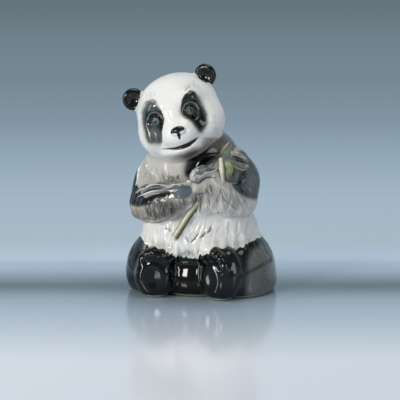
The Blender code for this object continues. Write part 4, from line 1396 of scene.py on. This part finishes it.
def makeTable(at, turn):
    # a glossy table whose colours are graded as painted light and shade, and whose far side glows as painted
    # light: a soft mirror
    table = added("floor", bpy.ops.mesh.primitive_plane_add, size=studio["sheet"], location=at,
                  rotation=(0, 0, turn))
    material, tree, shader = newMaterial("glowingGradedTable", Roughness=0.13, IOR=1.5)
    place = addNode(tree, "TexCoord")
    parts = addNode(tree, "SeparateXYZ", [("Vector", place, "Object")])
    share = spread(tree, parts, "Y", 0.0, 1.0, 0.0, -studio["graded"])
    cloud = addNode(tree, "TexNoise", [("Vector", place, "Object")], [("Scale", 12.0), ("Detail", 2.0)])
    spot = wavered(tree, share, "Result", cloud, 0.001)
    for tones, socket in (("tablePaintedLight", "Base Color"), ("tableGlow", "Emission Color")):
        colour = stopsOf(tree, spot, "Value", tableStops(studio[tones]))
        tree.links.new(colour.outputs["Color"], shader.inputs[socket])
    shader.inputs["Emission Strength"].default_value = 1.0
    table.data.materials.append(material)
    return table


def makeBackdrop(at, turn):
    # a paper backdrop that glows with painted light, darkest at its foot
    half = studio["sheet"] / 2
    wall = added("backdrop", bpy.ops.mesh.primitive_plane_add, size=studio["sheet"],
                 location=at + Vector((0, 0, half)), rotation=(math.radians(90), 0, turn))
    material, tree, shader = newMaterial("glowingGradedBackdrop", Roughness=0.9)
    parts = addNode(tree, "SeparateXYZ", [("Vector", addNode(tree, "TexCoord"), "Object")])
    share = spread(tree, parts, "Y", 0.0, 1.0, -half, 1.0 - half)
    colour = stopsOf(tree, share, "Result", studio["wallGlow"])
    shader.inputs["Base Color"].default_value = (0, 0, 0, 1)
    shader.inputs["Specular IOR Level"].default_value = 0.0
    shader.inputs["Emission Strength"].default_value = 1.0
    tree.links.new(colour.outputs["Color"], shader.inputs["Emission Color"])
    wall.data.materials.append(material)
    return wall


def makeStudio():
    # the table, the backdrop, the air's own light and the lamps
    turn = math.radians(studio["azimuth"])
    behind = Vector((-math.sin(turn), math.cos(turn), 0)) * studio["wallAt"]
    floor = makeTable(behind, turn)
    wall = makeBackdrop(behind, turn)
    world = bpy.data.worlds.new("studioAir")
    world.use_nodes = True
    air = world.node_tree.nodes["Background"]
    air.inputs["Color"].default_value = linear(studio["air"])
    air.inputs["Strength"].default_value = studio["airStrength"]
    bpy.context.scene.world = world
    for name, (spot, size, watts, colour) in lights.items():
        aim = Vector(studio["aim"]) - Vector(spot)
        light = added(name, bpy.ops.object.light_add, type="AREA", location=spot,
                      rotation=aim.to_track_quat("-Z", "Y").to_euler())
        light.data.shape = "RECTANGLE"
        light.data.size, light.data.size_y = size
        light.data.energy = watts
        light.data.color = linear(colour)[:3]
    print("studio ready")


# build

plainClay = bodyClay() + headClay() + leftLeg() + rightLeg() + leftArm() + rightArm()
fur, cuffs, hem = furClay(plainClay)
bamboo = bambooClay(plainClay + fur)
print("clay laid")
makeCamera()
panda = refineCasting(plainClay + fur + bamboo)
rng = np.random.default_rng(casting["seed"])
strokes = [(seenLine(line), *rest) for line, *rest in strokeRows(furFront, rng) + furSingles]
strokes = [stroke for stroke in strokes if len(stroke[0]) > 1] + laidStrokes(strokeRows(furAround, rng))
inkValues = cutStrokes(panda, strokes)
print("fur cut:", len(strokes), "strokes")
paintCasting(panda, inkValues)
panda.data.materials.clear()
panda.data.materials.append(paintedPorcelain())
pieces = [panda]
for looks, lumps, makePiece, makeMaterial in ((leafLooks, bamboo[2:], leafPiece, leafMaterial),
                                              (caneLooks, bamboo[:2], rodPiece, caneMaterial)):
    for (name, colours), lump in zip(looks.items(), lumps):
        sprig = makePiece(name, lump)
        sprig.data.materials.append(makeMaterial("glazed" + name[0].upper() + name[1:], colours))
        pieces.append(sprig)
print("sprig laid over the casting")
eyePaint = eyeMaterial()
for name, side in (("eyeRight", -1), ("eyeLeft", 1)):
    eye = eyePiece(name, side)
    eye.data.materials.append(eyePaint)
    pieces.append(eye)
nose = nosePiece()
nose.data.materials.append(noseMaterial())
pieces.append(nose)
for piece in pieces:
    # kept to the solid's box
    setCoordinates(piece.data, np.clip(coordinates(piece.data), *np.array(boundsAtLoad)))
    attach(piece, "root")
    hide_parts("panda")
makeStudio()
bpy.context.scene.view_settings.view_transform = "Standard"
